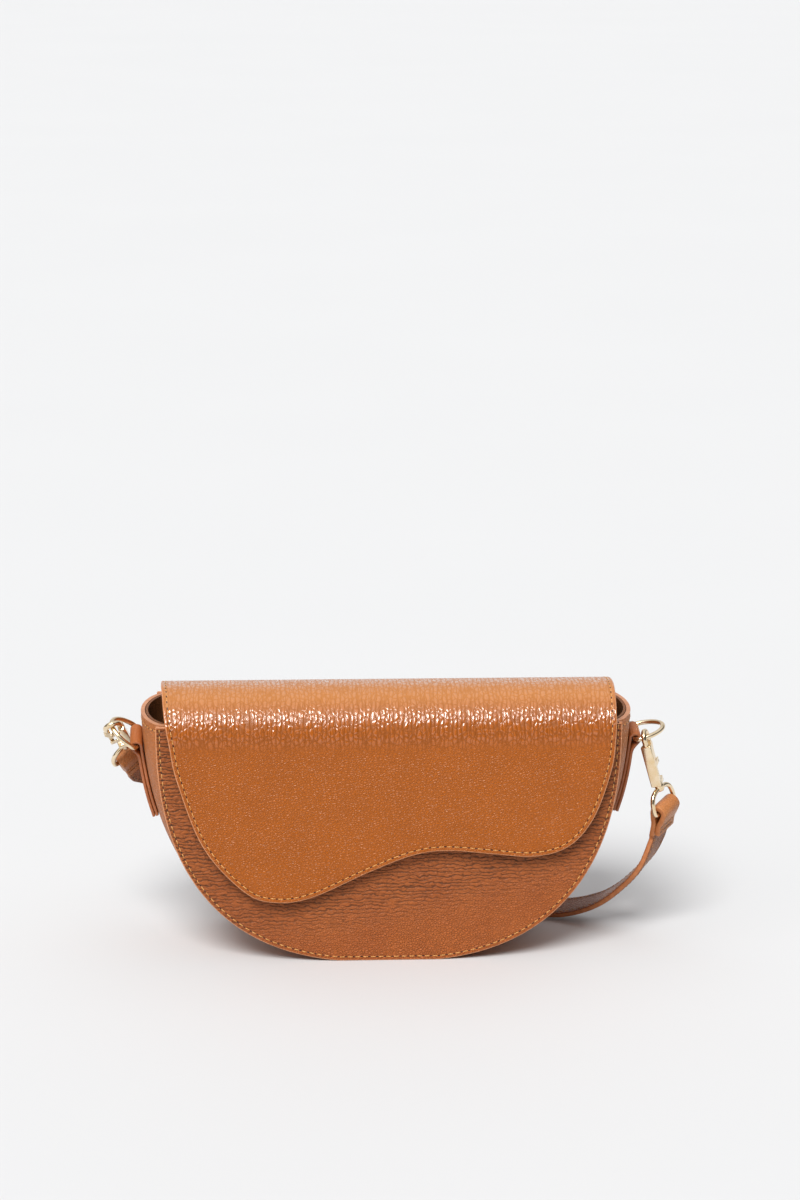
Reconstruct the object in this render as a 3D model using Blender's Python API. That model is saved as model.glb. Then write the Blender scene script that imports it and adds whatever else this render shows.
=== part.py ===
"""A half-moon crossbody bag with a wave-cut flap, two D-rings and a clip-on strap.

Metres, +Z up.  The bag stands on the floor, its width lies along X and its
front faces -Y.  Every piece is its own object.
"""
import math

import bmesh
import bpy
from mathutils import Matrix, Vector

# The body: two half-moon panels joined by a gusset
panel_half_width = 0.114
rim_height = 0.1205
body_depth = 0.070
sole_trim = 0.001
outline_drop_power = 2.43
outline_side_power = 2.56
panel_leather = 0.0016
panel_dome = 0.0010
fit_gap = 0.0003
gusset_bulge = 0.0075
gusset_lift = 0.0010
gusset_wall = 0.0020
gusset_round_power = 0.6
gusset_fade_power = 0.7
seam_margin = 0.0035
flange_leather = 0.0012

# The inside: reinforcement board, linings, facing and slip pocket
board_thickness = 0.0008
lining_thickness = 0.0008
facing_leather = 0.0012
facing_height = 0.018
board_margin = 0.0065
lining_margin = 0.0068
pocket_half_width = 0.052
pocket_height = 0.056
pocket_base_height = 0.034
pocket_room = 0.0016
pocket_cloth = 0.0006

# The magnetic snap
snap_height = 0.078
snap_radius = 0.0090
snap_flange = 0.0012
snap_bore_radius = 0.0032
snap_neck_radius = 0.0042
snap_plug_radius = 0.0028
snap_plug_length = 0.0010
stud_flange = 0.0008
stud_neck_radius = 0.0024
socket_washer_radius = 0.0078
stud_washer_radius = 0.0070
stud_washer_thickness = 0.0004
neck_clearance = 0.0003

# The flap
flap_half_width = 0.1112
flap_leather = 0.0014
flap_lining = 0.0008
flap_rise = 0.0163
flap_roll_run = 0.0245
flap_roll_drop = 0.0240
flap_hinge_slope = 15.0
flap_rise_pull = 0.022
flap_crown_pull = 0.018
flap_cut_low = 0.020
hinge_clearance = 0.0006
rim_clearance = 0.0006
root_height = 0.022
cut_overrun = 0.004

# The tabs and D-rings
tab_width = 0.015
tab_leather = 0.0014
tab_bottom_height = 0.0692
tab_loop_height = 0.1058
tab_loop_radius = 0.0024
tab_twist_start_height = 0.080
ring_wire_radius = 0.0012
ring_half_bar = 0.0093
ring_reach = 0.0150
ring_corner = 0.0025
ring_bow_power = 1.0

# The clasps
hook_radius = 0.0035
hook_wire_radius = 0.00135
hook_height = 0.0251
hook_tip_drop = 0.0026
hook_root_height = 0.0204
ring_play = 0.0006
bar_height = 0.0224
bar_depth = 0.0032
bar_half_width = 0.0026
bar_edge = 0.0004
foot_height = 0.0032
foot_reach = 0.0026
gate_pivot_height = 0.011
gate_half_width = 0.0011
gate_half_depth = 0.00095
gate_tail = 0.0012
gate_nub_reach = 0.0011
gate_nub_height = 0.0022
gate_nub_place = 0.0085
ear_half_height = 0.0014
pin_radius = 0.0006
pin_clearance = 0.00008
spring_leaf = 0.00025
spring_half_width = 0.0008
spring_top_place = 0.0090
spring_foot_place = 0.0030
spring_play = 0.0008
stem_radius = 0.0011
stem_clearance = 0.0001
stem_head_radius = 0.0015
stem_head_height = 0.0008
boss_radius = 0.0023
boss_height = 0.0038
eye_wire_radius = 0.0012
eye_half_bar = 0.0094
eye_reach = 0.0112
eye_corner = 0.0020
eye_bow_power = 0.7
eye_drop = 0.0140

# The strap
strap_width = 0.015
strap_thickness = 0.0027
strap_loop_clearance = 0.0005
strap_loop_length = 0.0142
strap_tail_length = 0.0125
strap_guide_length = 0.005
strap_sections_apart = 0.007
coil_centre_x = -0.015
coil_centre_y = 0.100
coil_radius = 0.050
coil_turns = 3.0
coil_spacing = 0.0064
coil_steps_per_turn = 24
coil_rise_turns = 0.36
coil_exit_height = 0.0243

# How finely curves are drawn
outline_steps = 13
panel_columns = 10
wall_steps = 8
round_steps = 24
bow_steps = 14
loop_arc_steps = 6
wire_sides = 12

# The wave of the flap's edge, as shares of its half width and of the rim height
flap_edge_shares = [
    (-1.0, 1.16), (-0.985, 1.033), (-0.965, 0.929), (-0.933, 0.784), (-0.821, 0.506),
    (-0.644, 0.317), (-0.506, 0.268), (-0.340, 0.289), (-0.092, 0.393), (0.100, 0.462),
    (0.253, 0.481), (0.461, 0.464), (0.641, 0.452), (0.793, 0.494), (0.901, 0.613),
    (0.973, 0.804), (0.992, 0.930), (1.0, 1.16),
]

# The free strap's route, each point with the direction that its width lies in
right_route = [
    ((0.1305, 0.0040, 0.0370), (0.52, 0.79, 0.30)),
    ((0.1214, 0.0120, 0.0235), (0.47, 0.86, 0.20)),
    ((0.1127, 0.0190, 0.0140), (0.45, 0.88, 0.12)),
    ((0.1035, 0.0250, 0.0076), (0.43, 0.90, 0.05)),
    ((0.0940, 0.0300, 0.0036), (0.41, 0.91, 0.00)),
    ((0.0840, 0.0345, 0.0022), (0.38, 0.92, 0.00)),
    ((0.0730, 0.0385, 0.0020), (0.35, 0.93, 0.00)),
    ((0.0600, 0.0422, 0.0036), (0.29, 0.92, 0.26)),
    ((0.0460, 0.0455, 0.0057), (0.20, 0.80, 0.57)),
    ((0.0300, 0.0480, 0.0075), (0.08, 0.52, 0.85)),
    ((0.0140, 0.0495, 0.0080), (0.01, 0.20, 0.98)),
    ((0.0000, 0.0500, 0.0078), (0.00, 0.00, 1.00)),
]
left_route = [
    ((-0.0320, 0.0690, 0.0254), (0.00, 0.00, 1.00)),
    ((-0.0490, 0.0682, 0.0300), (0.04, 0.02, 1.00)),
    ((-0.0660, 0.0668, 0.0375), (0.14, 0.06, 0.97)),
    ((-0.0820, 0.0645, 0.0472), (0.26, 0.11, 0.95)),
    ((-0.0965, 0.0610, 0.0575), (0.40, 0.18, 0.90)),
    ((-0.1085, 0.0560, 0.0670), (0.52, 0.24, 0.80)),
    ((-0.1175, 0.0495, 0.0750), (0.62, 0.30, 0.72)),
]

# How each side's ring and clasp hang: the ring's lift and tilt, the place on its
# bow that the hook holds, the clasp's direction, how far its gate is turned from
# square to the ring's wire, and the directions of its eye's bar and of the strap
right_hang = dict(
    side=1, lift=15.0, tilt=9.0, bow_angle=-78.0,
    down=(0.28, 0.10, -0.955), gate_side=1, turn=-26.0,
    bar=(0.57, 0.75, 0.32), strap=(-0.28, 0.07, -0.96), tail_side=-1,
)
left_hang = dict(
    side=-1, lift=37.0, tilt=22.0, bow_angle=-15.0,
    down=(0.19, 0.80, -0.565), gate_side=1, turn=0.0,
    bar=(0.75, 0.35, 0.55), strap=(0.25, 0.75, -0.60), tail_side=1,
)


def clear_scene():
    """Take away whatever the file starts with."""
    for item in list(bpy.data.objects):
        bpy.data.objects.remove(item, do_unlink=True)


def finish_of(name, colour, roughness, metallic):
    """A plain finish for one kind of material."""
    look = bpy.data.materials.new(name)
    look.use_nodes = True
    shader = look.node_tree.nodes["Principled BSDF"]
    shader.inputs["Base Color"].default_value = (*colour, 1.0)
    shader.inputs["Roughness"].default_value = roughness
    shader.inputs["Metallic"].default_value = metallic
    return look


def looks_for(piece, base):
    """Give a piece its own copy of a finish."""
    own = base.copy()
    own.name = piece.name + "_finish"
    piece.data.materials.append(own)


def object_from(name, mesh_maker, look, place=Matrix.Identity(4)):
    """Make an object from a bmesh and put it in its place."""
    mesh = bpy.data.meshes.new(name)
    mesh_maker.to_mesh(mesh)
    mesh_maker.free()
    mesh.shade_smooth()
    mesh.set_sharp_from_angle(angle=math.radians(35))
    piece = bpy.data.objects.new(name, mesh)
    bpy.context.collection.objects.link(piece)
    piece.matrix_world = place
    if look:
        looks_for(piece, look)
    return piece


def loft(name, rings, look, endless=False, place=Matrix.Identity(4)):
    """Bridge rings of points into one closed solid, capped unless it is endless."""
    maker = bmesh.new()
    loops = [[maker.verts.new(point) for point in ring] for ring in rings]
    count = len(loops[0])
    pairs = list(zip(loops, loops[1:]))
    if endless:
        pairs.append((loops[-1], loops[0]))
    for first, second in pairs:
        for i in range(count):
            j = (i + 1) % count
            maker.faces.new((first[i], first[j], second[j], second[i]))
    if not endless:
        maker.faces.new(loops[0])
        maker.faces.new(loops[-1])
    bmesh.ops.recalc_face_normals(maker, faces=maker.faces)
    return object_from(name, maker, look, place)


def prism(name, outline, to_point, near, far, look, place=Matrix.Identity(4)):
    """Extrude a flat outline from one depth to another."""
    rings = [[to_point(u, v, depth) for u, v in outline] for depth in (near, far)]
    return loft(name, rings, look, place=place)


def turned(name, profile, look, place, hollow=False, steps=None):
    """Turn a profile of radius and height about the local Z axis."""
    count = steps or round_steps
    rings = []
    for radius, height in profile:
        ring = []
        for i in range(count):
            angle = 2 * math.pi * i / count
            ring.append(Vector((radius * math.cos(angle), radius * math.sin(angle), height)))
        rings.append(ring)
    return loft(name, rings, look, endless=hollow, place=place)


def wire(name, points, normal, radius, look, cyclic, place=Matrix.Identity(4)):
    """A round wire along a flat path, with the normal of the path's plane."""
    rings = []
    count = len(points)
    for i, point in enumerate(points):
        before = points[i - 1] if cyclic or i else point
        after = points[(i + 1) % count] if cyclic or i < count - 1 else point
        side = (after - before).normalized().cross(normal)
        ring = []
        for k in range(wire_sides):
            angle = 2 * math.pi * (k + 0.5) / wire_sides
            ring.append(point + side * (radius * math.cos(angle))
                        + normal * (radius * math.sin(angle)))
        rings.append(ring)
    return loft(name, rings, look, endless=cyclic, place=place)


def combine(target, helper, operation):
    """Join, cut or trim a piece with a helper that isn't part of the model."""
    helper.hide_render = True
    helper.display_type = "WIRE"
    step = target.modifiers.new(operation.title(), "BOOLEAN")
    step.operation = operation
    step.object = helper
    step.solver = "EXACT"


def soften(piece, width):
    """Round a piece's hard edges."""
    step = piece.modifiers.new("Edges", "BEVEL")
    step.width = width
    step.segments = 1
    step.limit_method = "ANGLE"
    step.angle_limit = math.radians(40)


def smooth_through(points, steps):
    """Points on a smooth curve that passes through every given point."""
    rows = [Vector(point) for point in points]
    rows = [2 * rows[0] - rows[1]] + rows + [2 * rows[-1] - rows[-2]]
    result = []
    for i in range(1, len(rows) - 2):
        a, b, c, d = rows[i - 1:i + 3]
        for k in range(steps):
            t = k / steps
            result.append(0.5 * (2 * b + (c - a) * t + (2 * a - 5 * b + 4 * c - d) * t * t
                                 + (3 * b - a - 3 * c + d) * t ** 3))
    result.append(rows[-2])
    return result


def offset_path(path, distance):
    """A flat path moved sideways by a distance, to the left of its direction."""
    result = []
    for i, point in enumerate(path):
        before = path[max(i - 1, 0)]
        after = path[min(i + 1, len(path) - 1)]
        along = (after - before).normalized()
        result.append(point + Vector((-along.y, along.x)) * distance)
    return result


def across(direction, axis):
    """The part of a direction that is square to an axis, at unit length."""
    direction = Vector(direction)
    return (direction - axis * direction.dot(axis)).normalized()


def frame_matrix(origin, x_axis, y_axis, z_axis):
    """A placement from an origin and three axes."""
    rows = Matrix((x_axis, y_axis, z_axis)).transposed().to_4x4()
    return Matrix.Translation(origin) @ rows


def ribbon(name, path, widths, width, thickness, look, ends=None, place=Matrix.Identity(4)):
    """A flat band along a path, its width lying in the given directions."""
    rings = []
    last = len(path) - 1
    for i, point in enumerate(path):
        along = (path[min(i + 1, last)] - path[max(i - 1, 0)]).normalized()
        if ends and i in (0, last):
            along = ends[0] if i == 0 else ends[1]
        side = across(widths[i], along) * (width / 2)
        up = along.cross(side).normalized() * (thickness / 2)
        rings.append([point - side - up, point + side - up, point + side + up, point - side + up])
    return loft(name, rings, look, place=place)


# Places that follow from the sizes

def outline_angle(height, inset):
    """Angle on the half-moon outline at a height."""
    drop = rim_height + sole_trim - inset
    share = max(rim_height - height, 0) / drop
    return math.asin(min(share ** (outline_drop_power / 2), 1))


def outline_at(angle, inset):
    """Half width and height of the half-moon outline, moved inwards by an inset."""
    drop = rim_height + sole_trim - inset
    x = (panel_half_width - inset) * math.cos(angle) ** (2 / outline_side_power)
    z = rim_height - drop * math.sin(angle) ** (2 / outline_drop_power)
    return Vector((x, z))


def outline_levels(inset, top):
    """Points of the right half of the outline, from a top height to the flat foot."""
    first = outline_angle(top, inset)
    last = outline_angle(inset, inset)
    angles = [first + (last - first) * i / outline_steps for i in range(outline_steps + 1)]
    return [(angle, outline_at(angle, inset)) for angle in angles]


def outward_at(angle):
    """Outward direction of the outline in its own plane."""
    step = math.radians(1)
    low = max(angle - step, 0)
    along = (outline_at(low + 2 * step, 0) - outline_at(low, 0)).normalized()
    return Vector((-along.y, along.x))


def bulge_at(height):
    """How far the gusset stands out of the panels' outline at a height."""
    share = max(height, 0) / rim_height
    return -gusset_lift + (gusset_bulge + gusset_lift) * share ** gusset_fade_power


def dome_at(x, height):
    """How far the front panel swells at a place."""
    half = max(outline_at(outline_angle(height, 0), 0).x, abs(x))
    share = (rim_height - height) / rim_height
    return panel_dome * (1 - (x / half) ** 2) * max(math.sin(math.pi * share), 0)


snap_dome = dome_at(0, snap_height)
flap_thickness = flap_leather + fit_gap + flap_lining
flap_stand_off = snap_dome + 3 * fit_gap + snap_flange + stud_flange
front_stack = flap_stand_off + flap_thickness
back_stack = fit_gap + panel_leather
body_shift = (front_stack - back_stack) / 2
front_face = body_shift - body_depth / 2
back_face = body_shift + body_depth / 2
snap_face = front_face - snap_dome
flap_inner_face = front_face - flap_stand_off
flap_front = flap_inner_face - flap_thickness
flange_depth = body_depth / 2 - panel_leather - fit_gap
wall_depth = flange_depth - flange_leather
lining_top = rim_height - facing_height - 3 * fit_gap
hinge_y = back_face + fit_gap + panel_leather / 2
hinge_z = rim_height + rim_clearance + flap_thickness / 2 + hinge_clearance / 2


def wall_curve(height, inward):
    """The gusset wall's curve from front to back, as offset and depth."""
    base = -seam_margin - inward
    swell = bulge_at(height) + seam_margin
    depth = wall_depth - inward
    curve = []
    for i in range(2 * wall_steps + 1):
        angle = math.pi / 2 * (i / wall_steps - 1)
        share = max(math.cos(angle), 0) ** (2 * gusset_round_power)
        curve.append((base + swell * share, depth * math.sin(angle)))
    return curve


def swept_strip(name, section_at, top, look):
    """Carry a section round the half-moon outline, from one rim to the other."""
    levels = outline_levels(0, top)
    rings = []
    for side, rows in ((1, levels), (-1, levels[::-1])):
        for angle, point in rows:
            out = outward_at(angle)
            ring = []
            for offset, depth in section_at(point.y):
                spot = point + out * offset
                ring.append(Vector((side * spot.x, body_shift + depth, spot.y)))
            rings.append(ring)
    return loft(name, rings, look)


def moon_sheet(name, face, thickness, inset, top, dome_share, look, columns):
    """A half-moon sheet whose outer face swells with the front panel."""
    rings = []
    for _, point in outline_levels(inset, top):
        near = []
        far = []
        for i in range(columns + 1):
            x = point.x * (2 * i / columns - 1)
            y = face - dome_share * dome_at(x, point.y)
            near.append(Vector((x, y, point.y)))
            far.append(Vector((x, y + thickness, point.y)))
        rings.append(near + far[::-1])
    return loft(name, rings, look)


def gusset_section(height):
    """The gusset's wall with the two flanges that are sewn to the panels."""
    outer = wall_curve(height, 0)
    inner = wall_curve(height, gusset_wall)[::-1]
    start = [(0, -flange_depth), (0, -wall_depth)]
    turn = [(0, wall_depth), (0, flange_depth), (inner[0][0], flange_depth)]
    return start + outer + turn + inner + [(inner[-1][0], -flange_depth)]


def gusset_lining_section(height):
    """The lining that lies against the inside of the gusset's wall."""
    outer = wall_curve(height, gusset_wall + fit_gap)
    inner = wall_curve(height, gusset_wall + fit_gap + lining_thickness)[::-1]
    return outer + inner


def facing_loop(height, inward):
    """The mouth's inner outline at a height, moved inwards."""
    half = outline_at(outline_angle(height, 0), 0).x
    curve = wall_curve(height, gusset_wall + fit_gap + inward)
    corner = half + curve[0][0]
    depth = flange_depth - inward
    right = [(corner, -depth)] + [(half + out, y) for out, y in curve] + [(corner, depth)]
    left = [(-x, y) for x, y in right[::-1]]
    return [Vector((x, body_shift + y, height)) for x, y in right + left]


def make_body(leather, edge, cloth, board):
    """Panels, gusset, board, linings, facing and slip pocket."""
    front = moon_sheet("front_panel", front_face, panel_leather, 0, rim_height, 1, leather,
                       panel_columns)
    moon_sheet("back_panel", back_face - panel_leather, panel_leather, 0, rim_height, 0,
               leather, 1)
    swept_strip("gusset", gusset_section, rim_height, leather)
    stiffener_face = front_face + panel_leather + fit_gap
    stiffener = moon_sheet("front_stiffener", stiffener_face, board_thickness, board_margin,
                           lining_top, 1, board, panel_columns)
    lining_face = stiffener_face + board_thickness + fit_gap
    moon_sheet("front_lining", lining_face, lining_thickness, lining_margin, lining_top, 1,
               cloth, panel_columns)
    back_lining_face = back_face - panel_leather - fit_gap - lining_thickness
    moon_sheet("back_lining", back_lining_face, lining_thickness, lining_margin, lining_top, 0,
               cloth, 1)
    swept_strip("gusset_lining", gusset_lining_section, lining_top, cloth)

    middle = rim_height - facing_height / 2
    low = rim_height - facing_height
    rings = [facing_loop(z, 0) for z in (low, middle, rim_height)]
    rings += [facing_loop(z, facing_leather) for z in (rim_height, middle, low)]
    loft("rim_facing", rings, leather, endless=True)

    pocket_back = back_lining_face - fit_gap
    make_pocket(pocket_back, cloth)
    return front, stiffener


def box_helper(name, low, high, look=None, place=Matrix.Identity(4)):
    """A box between two corners."""
    outline = [(low[0], low[1]), (high[0], low[1]), (high[0], high[1]), (low[0], high[1])]
    return prism(name, outline, lambda x, y, z: Vector((x, y, z)), low[2], high[2], look, place)


def make_pocket(back, cloth):
    """A flat pocket sewn to the back lining on three sides, open at the top."""
    room_front = back - pocket_room
    top = pocket_base_height + pocket_height
    pocket = box_helper("slip_pocket", (-pocket_half_width, room_front - pocket_cloth,
                                        pocket_base_height),
                        (pocket_half_width, back, top), cloth)
    room = box_helper("slip_pocket_room",
                      (pocket_cloth - pocket_half_width, room_front,
                       pocket_base_height + pocket_cloth),
                      (pocket_half_width - pocket_cloth, back + cut_overrun, top + cut_overrun))
    combine(pocket, room, "DIFFERENCE")


def snap_place(y):
    """A placement on the snap's axis, its Z pointing to the back."""
    origin = Vector((0, y, snap_height))
    return frame_matrix(origin, Vector((1, 0, 0)), Vector((0, 0, -1)), Vector((0, 1, 0)))


def make_snap(front, stiffener, flap, lining, metal):
    """Both halves of the magnetic snap, each with its backing washer."""
    washer_face = front_face - snap_dome + panel_leather + fit_gap
    neck_end = washer_face + board_thickness - (snap_face - fit_gap)
    socket_profile = [
        (snap_bore_radius, -snap_flange), (snap_radius, -snap_flange), (snap_radius, 0),
        (snap_neck_radius, 0), (snap_neck_radius, neck_end), (snap_bore_radius, neck_end),
    ]
    turned("snap_socket", socket_profile, metal, snap_place(snap_face - fit_gap), hollow=True)
    hole = snap_neck_radius + neck_clearance
    washer_profile = [(hole, 0), (socket_washer_radius, 0),
                      (socket_washer_radius, board_thickness), (hole, board_thickness)]
    turned("snap_socket_washer", washer_profile, metal, snap_place(washer_face), hollow=True)
    panel_hole = turned("panel_hole", [(hole, -cut_overrun), (hole, cut_overrun)], None,
                        snap_place(snap_face))
    combine(front, panel_hole, "DIFFERENCE")
    board_radius = socket_washer_radius + fit_gap
    board_hole = turned("board_hole", [(board_radius, -cut_overrun), (board_radius, cut_overrun)],
                        None, snap_place(washer_face))
    combine(stiffener, board_hole, "DIFFERENCE")

    stud_face = flap_inner_face + fit_gap + stud_flange
    washer_near = flap_inner_face - flap_lining - fit_gap
    neck_start = washer_near - stud_washer_thickness - stud_face
    stud_profile = [(stud_neck_radius, neck_start), (stud_neck_radius, -stud_flange),
                    (snap_radius, -stud_flange), (snap_radius, 0), (snap_plug_radius, 0),
                    (snap_plug_radius, snap_plug_length)]
    turned("snap_stud", stud_profile, metal, snap_place(stud_face))
    stud_hole = stud_neck_radius + neck_clearance
    stud_washer = [(stud_hole, -stud_washer_thickness), (stud_washer_radius, -stud_washer_thickness),
                   (stud_washer_radius, 0), (stud_hole, 0)]
    turned("snap_stud_washer", stud_washer, metal, snap_place(washer_near), hollow=True)
    lining_hole = turned("lining_hole", [(stud_hole, -cut_overrun), (stud_hole, cut_overrun)],
                         None, snap_place(flap_inner_face))
    combine(lining, lining_hole, "DIFFERENCE")
    recess_radius = stud_washer_radius + fit_gap
    recess_start = -stud_washer_thickness - fit_gap
    recess = turned("washer_recess", [(recess_radius, recess_start), (recess_radius, cut_overrun)],
                    None, snap_place(washer_near))
    combine(flap, recess, "DIFFERENCE")


def flap_path():
    """The flap's outer face from the hinge over the crown and down the front."""
    slope = math.radians(flap_hinge_slope)
    along = Vector((-math.cos(slope), math.sin(slope)))
    up = Vector((math.sin(slope), math.cos(slope)))
    start = Vector((hinge_y, hinge_z)) + up * (flap_thickness / 2)
    crown = Vector((flap_front + flap_roll_run, rim_height + flap_rise))
    pull_start = start + along * flap_rise_pull
    pull_end = crown + Vector((flap_crown_pull, 0))
    path = []
    for i in range(wall_steps):
        t = i / wall_steps
        s = 1 - t
        path.append(start * s ** 3 + 3 * pull_start * s * s * t + 3 * pull_end * s * t * t
                    + crown * t ** 3)
    for i in range(wall_steps + 1):
        angle = math.pi / 2 * i / wall_steps
        path.append(Vector((crown.x - flap_roll_run * math.sin(angle),
                            crown.y - flap_roll_drop * (1 - math.cos(angle)))))
    path.append(Vector((flap_front, flap_cut_low)))
    return path


def make_flap(leather, cloth):
    """The flap's leather and lining, cut to the wave, and its root on the back."""
    outer = flap_path()
    reach = flap_half_width + cut_overrun
    hinge = Vector((0, hinge_y, hinge_z))
    place = Matrix.Translation(hinge)

    def sheet(name, near, far, look):
        section = offset_path(outer, near) + offset_path(outer, far)[::-1]
        return prism(name, section, lambda y, z, x: Vector((x, y, z)) - hinge, -reach, reach,
                     look, place)

    flap = sheet("flap_leather", 0, flap_leather, leather)
    lining = sheet("flap_lining", flap_leather + fit_gap, flap_thickness, cloth)
    wave = smooth_through([(flap_half_width * x, rim_height * z) for x, z in flap_edge_shares], 4)
    above = rim_height + flap_rise + cut_overrun
    outline = [(-flap_half_width, above)] + [tuple(point) for point in wave]
    outline.append((flap_half_width, above))
    cutter = prism("flap_outline", outline, lambda x, z, y: Vector((x, y, z)),
                   flap_front - cut_overrun, hinge_y + cut_overrun, None)
    combine(flap, cutter, "INTERSECT")
    combine(lining, cutter, "INTERSECT")

    root_top = hinge_z - flap_thickness / 2 - hinge_clearance
    box_helper("flap_root", (-flap_half_width, back_face + fit_gap, root_top - root_height),
               (flap_half_width, back_face + fit_gap + panel_leather, root_top), leather)
    return flap, lining


def side_line(height, offset):
    """A place on the gusset's side at mid depth, moved outwards by an offset."""
    angle = outline_angle(height, 0)
    return outline_at(angle, 0) + outward_at(angle) * (bulge_at(height) + offset)


def tab_centre():
    """The centre of the tab's loop, as distance from the middle and height."""
    lay = side_line(tab_loop_height, fit_gap + tab_leather / 2)
    return Vector((lay.x + tab_loop_radius, tab_loop_height))


def make_tab(name, hang, leather):
    """A folded strip on the gusset whose loop holds the D-ring."""
    centre = tab_centre()
    r = tab_loop_radius
    layer = tab_leather + fit_gap
    heights = [tab_bottom_height + (tab_loop_height - 2.6 * r - tab_bottom_height) * i / 4
               for i in range(5)]
    inner = [side_line(z, fit_gap + tab_leather / 2) for z in heights]
    outer = [side_line(z, fit_gap + tab_leather / 2 + layer) for z in heights]
    arc = [centre + Vector((math.cos(math.pi * (1 - i / loop_arc_steps)),
                            math.sin(math.pi * (1 - i / loop_arc_steps)))) * r
           for i in range(loop_arc_steps + 1)]
    neck = [centre + Vector((0.80, -0.72)) * r, centre + Vector((0.10, -1.62)) * r]
    path = smooth_through(inner + arc + neck + outer[::-1], 2)
    twist = math.radians(hang["tilt"])

    def turned_point(x, y, z):
        reach = tab_loop_height - tab_twist_start_height
        share = min(max((z - tab_twist_start_height) / reach, 0), 1)
        angle = twist * share * share * (3 - 2 * share)
        rise = z - tab_loop_height
        return Vector((hang["side"] * x,
                       body_shift + y * math.cos(angle) - rise * math.sin(angle),
                       tab_loop_height + y * math.sin(angle) + rise * math.cos(angle)))

    left_edge = offset_path(path, tab_leather / 2)
    right_edge = offset_path(path, -tab_leather / 2)
    half = tab_width / 2
    rings = [[turned_point(a.x, -half, a.y), turned_point(a.x, half, a.y),
              turned_point(b.x, half, b.y), turned_point(b.x, -half, b.y)]
             for a, b in zip(left_edge, right_edge)]
    return loft(name, rings, leather)


def d_shape(half_bar, reach, corner, bow_power):
    """A closed D: a straight bar at 0 and a bow that reaches away from it."""
    points = []
    for i in range(4):
        angle = math.pi / 2 * i / 4
        points.append((corner * (1 - math.cos(angle)),
                       half_bar - corner + corner * math.sin(angle)))
    for i in range(bow_steps + 1):
        angle = math.pi / 2 - math.pi * i / bow_steps
        away = max(math.cos(angle), 0) ** bow_power
        along = math.copysign(abs(math.sin(angle)) ** bow_power, math.sin(angle))
        points.append((corner + (reach - corner) * away, half_bar * along))
    for i in range(1, 5):
        angle = math.pi / 2 * (1 - i / 4)
        points.append((corner * (1 - math.cos(angle)),
                       -half_bar + corner - corner * math.sin(angle)))
    return points


def ring_axes(hang):
    """Centre of a ring's bar, its outward direction and its bar's direction."""
    centre = tab_centre()
    tilt = math.radians(hang["tilt"])
    lift = math.radians(hang["lift"])
    bar = Vector((0, math.cos(tilt), math.sin(tilt)))
    up = Vector((0, -math.sin(tilt), math.cos(tilt)))
    out = Vector((hang["side"], 0, 0)) * math.cos(lift) + up * math.sin(lift)
    return Vector((hang["side"] * centre.x, body_shift, centre.y)), out, bar


def make_ring(name, hang, metal):
    """A D-ring whose bar lies in its tab's loop."""
    origin, out, bar = ring_axes(hang)
    points = [out * reach + bar * along for reach, along in
              d_shape(ring_half_bar, ring_reach, ring_corner, ring_bow_power)]
    return wire(name, points, out.cross(bar), ring_wire_radius, metal, True,
                Matrix.Translation(origin))


def clasp_axes(hang):
    """Origin of a clasp on its swivel axis, and its gate, side and upward directions."""
    origin, out, bar = ring_axes(hang)
    angle = math.radians(hang["bow_angle"])
    bow = ring_reach - ring_corner
    held = (origin + out * (ring_corner + bow * math.cos(angle))
            + bar * (ring_half_bar * math.sin(angle)))
    along = (bar * (ring_half_bar * math.cos(angle)) - out * (bow * math.sin(angle))).normalized()
    up = -Vector(hang["down"]).normalized()
    square = up.cross(along).normalized() * hang["gate_side"]
    gate = Matrix.Rotation(math.radians(hang["turn"]), 3, up) @ square
    side = up.cross(gate)
    lean = math.sqrt(1 - along.dot(gate) ** 2) / abs(along.dot(side))
    below_top = (hook_wire_radius + ring_wire_radius + ring_play) * lean
    return held - up * (hook_height + hook_radius - below_top), gate, side, up


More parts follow.
